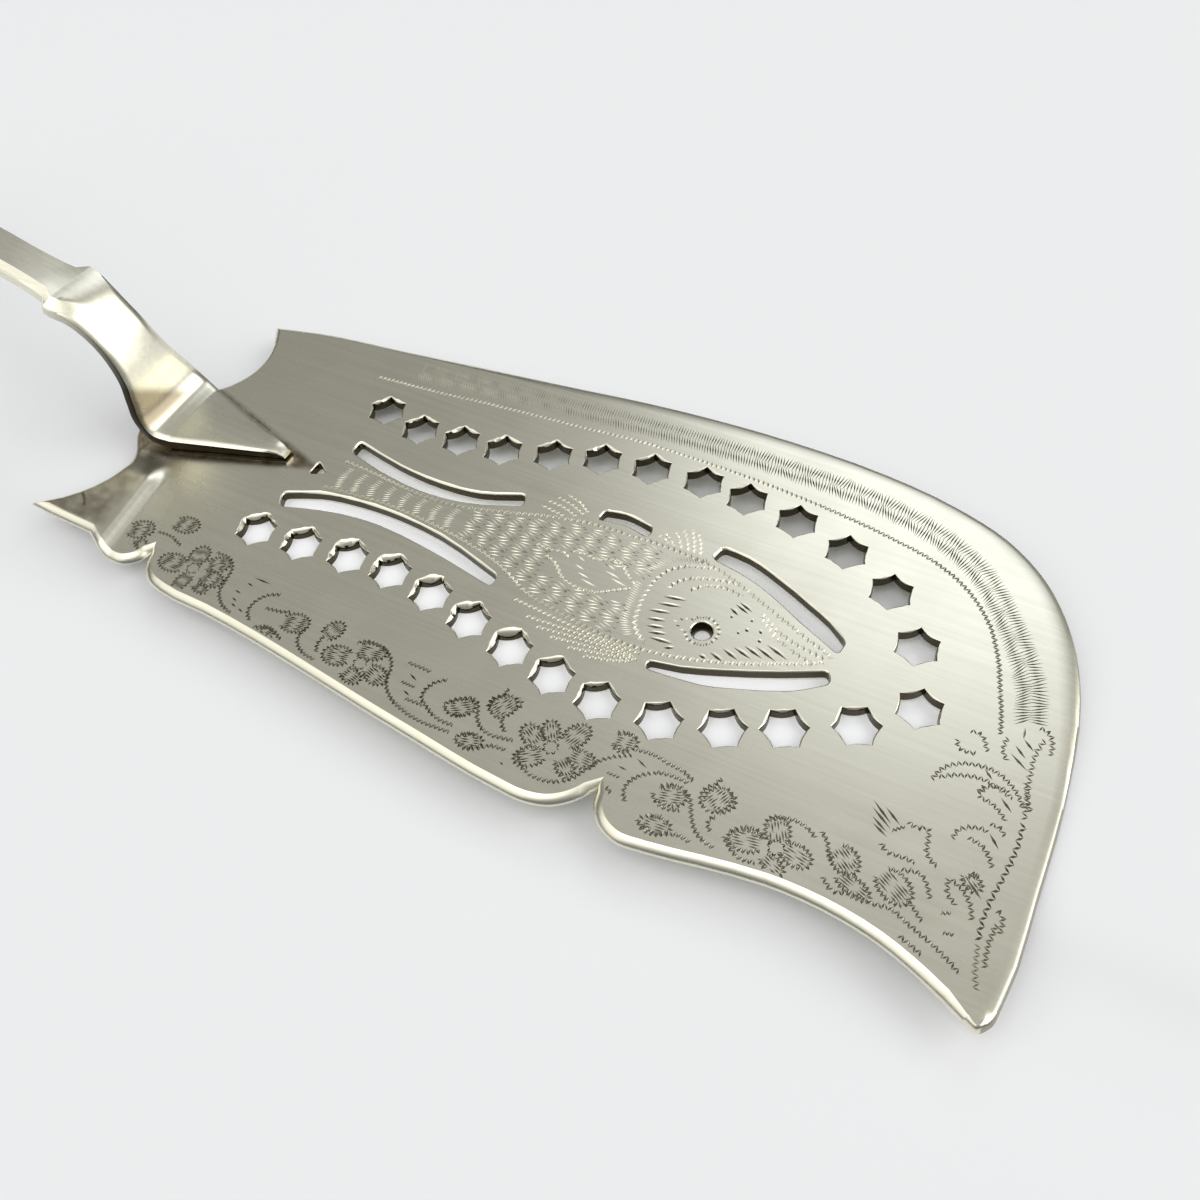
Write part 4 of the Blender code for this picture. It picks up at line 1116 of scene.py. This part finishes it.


# Silver plate on nickel silver, buffed and long in use: bright, a little warm, with fine rubbed
# scratches along the blade. It is darker in the cuts, behind the heel's bend and in the stem's hollow;
# painted shade darkens the piercings' walls, the nose's edge and the handle's sides, and tarnish with a
# painted reflection lies beside the foot.
def silverPlate(name, onBlade, patinaAndShadeColour):
    material, tree = newMaterial(name)
    coords = addNode(tree, "ShaderNodeTexCoord").outputs["Object"]
    lengthwise, across = [1 / (size * mm) for size in silverFinish["scratchMm"]]
    stretched = addNode(tree, "ShaderNodeMapping", {"Scale": (lengthwise, across, across)},
                        {"Vector": coords})
    scratches = addNode(tree, "ShaderNodeTexNoise", {"Scale": 1.0, "Detail": 4.0, "Roughness": 0.6},
                        {"Vector": stretched.outputs[0]})
    clouds = addNode(tree, "ShaderNodeTexNoise", {"Scale": 1 / (silverFinish["cloudMm"] * mm), "Detail": 4.0},
                     {"Vector": coords})
    clean, dulled = linear(silverFinish["clean"]), linear(silverFinish["dulled"])
    colour = addNode(tree, "ShaderNodeMix", {"data_type": "RGBA", 6: clean, 7: dulled},
                     {0: scratches.outputs["Fac"]})
    share = tarnishAndShadeShare(tree, coords) if onBlade else hollowShare(tree, coords)
    colour = addNode(tree, "ShaderNodeMix", {"data_type": "RGBA", 7: linear(silverFinish["tarnishAndShade"])},
                     {0: share, 6: colour.outputs[2]})
    patinaAndShade = addNode(tree, "ShaderNodeAttribute", {"attribute_name": "patinaAndShade"})
    patinaAndShadeMixed = addNode(tree, "ShaderNodeMix", {"data_type": "RGBA", 7: linear(patinaAndShadeColour)},
                        {0: patinaAndShade.outputs["Fac"], 6: colour.outputs[2]})
    smoothest, roughest = silverFinish["roughness"]
    rough = addNode(tree, "ShaderNodeMapRange",
                    {"From Min": 0.3, "From Max": 0.7, "To Min": smoothest, "To Max": roughest},
                    {"Value": clouds.outputs["Fac"]})
    shader = addNode(tree, "ShaderNodeBsdfPrincipled", {"Metallic": 1.0},
                     {"Base Color": patinaAndShadeMixed.outputs[2], "Roughness": rough.outputs[0]})
    addNode(tree, "ShaderNodeOutputMaterial", None, {"Surface": shader.outputs[0]})
    return material


solderFinish = {"bright": "#5f5440", "dark": "#2a2317", "roughness": 0.45, "grainMm": 0.9, "bumpMm": 0.1}


# Hard solder left as it flowed: dull, brown and uneven.
def hardSolder(name):
    material, tree = newMaterial(name)
    coords = addNode(tree, "ShaderNodeTexCoord").outputs["Object"]
    grain = addNode(tree, "ShaderNodeTexNoise", {"Scale": 1 / (solderFinish["grainMm"] * mm), "Detail": 3.0},
                    {"Vector": coords})
    dark, bright = linear(solderFinish["dark"]), linear(solderFinish["bright"])
    colour = addNode(tree, "ShaderNodeMix", {"data_type": "RGBA", 6: dark, 7: bright},
                     {0: grain.outputs["Fac"]})
    bump = addNode(tree, "ShaderNodeBump", {"Strength": 0.3, "Distance": solderFinish["bumpMm"] * mm},
                   {"Height": grain.outputs["Fac"]})
    shader = addNode(tree, "ShaderNodeBsdfPrincipled",
                     {"Metallic": 1.0, "Roughness": solderFinish["roughness"]},
                     {"Base Color": colour.outputs[2], "Normal": bump.outputs[0]})
    addNode(tree, "ShaderNodeOutputMaterial", None, {"Surface": shader.outputs[0]})
    return material


bladeSilver = silverPlate("silver_plate_stained_and_shaded", True, silverFinish["cutsAndShade"])
handleSilver = silverPlate("silver_plate_buffed_and_shaded", False, silverFinish["sideShade"])
for piece, material in ((blade, bladeSilver), (handle, handleSilver), (solder, hardSolder("hard_solder"))):
    piece.data.materials.clear()
    piece.data.materials.append(material)
for piece, node in ((blade, "blade"), (handle, "handle"), (solder, "solder_seam")):
    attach(piece, "root")
    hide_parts(node)
print("pieces dressed")


studio = {
    "floor": "#f0f2f6", "floorRough": 0.85, "floorHalf": 2.0,
    # how far the paper lies below the blade, from in front of it to behind
    "paper": ((-60, -4.6), (-36, -4.4), (-31, -3.4), (-26, -1.5), (-22, -0.6), (-14, -0.2), (0, -0.9),
              (20, -2.6), (40, -4), (60, -4.2)),
    "foldTurn": (3, 4),     # most turn and most step between its folds
    # it shines faintly in an oval under the piercings, so that it is as white there as in the open
    "glowMiddle": (85, -6), "glowHalf": (78, 29), "glowEdge": (1.0, 0.8), "glow": 0.18, "glowTint": "#ffffff",
    # right, away and up in the picture
    "axes": ((0.882, 0.471, 0), (-0.471, 0.882, 0), (0, 0, 1)),
    # for each light: shares of right, away and up in the picture, degrees from its middle where it
    # starts and where it is full, strength there and outside, tint
    "sky": ((0, 0, 1), 90, 26.7, 0.383, 0.09, "#fffefa"),
    "left": ((-0.65, -0.2, 0.73), 40, 18, 0.92, 0, "#fffefa"),
    "over": ((-0.1, -0.28, 0.955), 31, 8, 1.08, 0, "#fffefa"),
    "window": ((0.25, 0.668, 0.7), 18.4, 5.4, 1.36, 0, "#f2f7ff"),
    "side": ((0.83, -0.13, 0.54), 36, 20, 2.2, 0, "#fffefa"),
    "backdrop": "#ebedee",      # seen behind the floor's edge from low down, and lights nothing
}
# The paper is bent along the blade, so that it lies lower in front of it and behind it.
bpy.ops.object.select_all(action="DESELECT")
bpy.ops.mesh.primitive_plane_add(size=2 * studio["floorHalf"])
floor = bpy.context.active_object
floor.name = "floor"
folds = throughKnots(studio["paper"], *studio["foldTurn"])
bpy.ops.object.mode_set(mode="EDIT")
for y, z in folds:
    bpy.ops.mesh.select_all(action="SELECT")
    bpy.ops.mesh.bisect(plane_co=place(0, y, 0), plane_no=(0, 1, 0))
bpy.ops.object.mode_set(mode="OBJECT")
for vertex in floor.data.vertices:
    vertex.co.z = np.interp(vertex.co.y / mm + drawing["originY"], *zip(*folds)) * mm
bpy.ops.object.shade_smooth()
# Pale paper: matt, nearly white and a little cool, so that the soft shadows show on it.
paper, paperTree = newMaterial("pale_paper")
spot = addNode(paperTree, "ShaderNodeTexCoord").outputs["Object"]
middle = place(*studio["glowMiddle"], 0)
spot = addNode(paperTree, "ShaderNodeVectorMath", {"operation": "SUBTRACT", 1: middle}, {0: spot})
reach = [1 / (half * mm) for half in studio["glowHalf"]]
spot = addNode(paperTree, "ShaderNodeVectorMath", {"operation": "MULTIPLY", 1: (*reach, 0)},
               {0: spot.outputs[0]})
spot = addNode(paperTree, "ShaderNodeVectorMath", {"operation": "LENGTH"}, {0: spot.outputs[0]})
start, full = studio["glowEdge"]
glow = addNode(paperTree, "ShaderNodeMapRange",
               {"interpolation_type": "SMOOTHSTEP", "From Min": start, "From Max": full,
                "To Max": studio["glow"]}, {"Value": spot.outputs["Value"]})
paperShader = addNode(paperTree, "ShaderNodeBsdfPrincipled",
                      {"Base Color": linear(studio["floor"]), "Roughness": studio["floorRough"],
                       "Emission Color": linear(studio["glowTint"])}, {"Emission Strength": glow.outputs[0]})
addNode(paperTree, "ShaderNodeOutputMaterial", None, {"Surface": paperShader.outputs[0]})
floor.data.materials.append(paper)

# Light from all round: a dim sky, soft lights on the left and overhead, a window beyond, and a broad soft
# light on the right. The camera sees a plain backdrop instead.
world = bpy.data.worlds.new("studio")
bpy.context.scene.world = world
world.use_nodes = True
air = world.node_tree
air.nodes.clear()
ways = addNode(air, "ShaderNodeTexCoord").outputs["Generated"]
lights = []
for name in ("sky", "left", "over", "window", "side"):
    shares, start, full, inside, outside, tint = studio[name]
    way = sum((Vector(axis) * share for axis, share in zip(studio["axes"], shares)), Vector((0, 0, 0)))
    way.normalize()
    facing = addNode(air, "ShaderNodeVectorMath", {"operation": "DOT_PRODUCT", 1: way}, {0: ways})
    strength = addNode(air, "ShaderNodeMapRange",
                       {"interpolation_type": "SMOOTHSTEP", "From Min": math.cos(math.radians(start)),
                        "From Max": math.cos(math.radians(full)), "To Min": outside, "To Max": inside},
                       {"Value": facing.outputs["Value"]})
    light = addNode(air, "ShaderNodeBackground", {"Color": linear(tint)}, {"Strength": strength.outputs[0]})
    lights.append(light.outputs[0])
total = lights[0]
for light in lights[1:]:
    total = addNode(air, "ShaderNodeAddShader", None, {0: total, 1: light}).outputs[0]
backdrop = addNode(air, "ShaderNodeBackground", {"Color": linear(studio["backdrop"])})
seen = addNode(air, "ShaderNodeLightPath").outputs["Is Camera Ray"]
total = addNode(air, "ShaderNodeMixShader", None, {0: seen, 1: total, 2: backdrop.outputs[0]}).outputs[0]
addNode(air, "ShaderNodeOutputWorld", None, {"Surface": total})

cameraSet = {
    "place": (149.68, -98.61, 151.85), "lens": 35.35, "sensor": 36, "nearest": 10,
    "right": (0.8791, 0.4692, -0.0842), "up": (-0.3291, 0.7251, 0.6049), "back": (0.3449, -0.5041, 0.7918),
}
cameraData = bpy.data.cameras.new("camera")
cameraData.lens, cameraData.sensor_width = cameraSet["lens"], cameraSet["sensor"]
camera = bpy.data.objects.new("camera", cameraData)
bpy.context.collection.objects.link(camera)
turned = Matrix([cameraSet["right"], cameraSet["up"], cameraSet["back"]]).transposed()
camera.matrix_world = Matrix.Translation(Vector(cameraSet["place"]) * mm) @ turned.to_4x4()
cameraData.clip_start = cameraSet["nearest"] * mm
bpy.context.scene.camera = camera
bpy.context.scene.view_settings.view_transform = "Standard"
print("studio set")
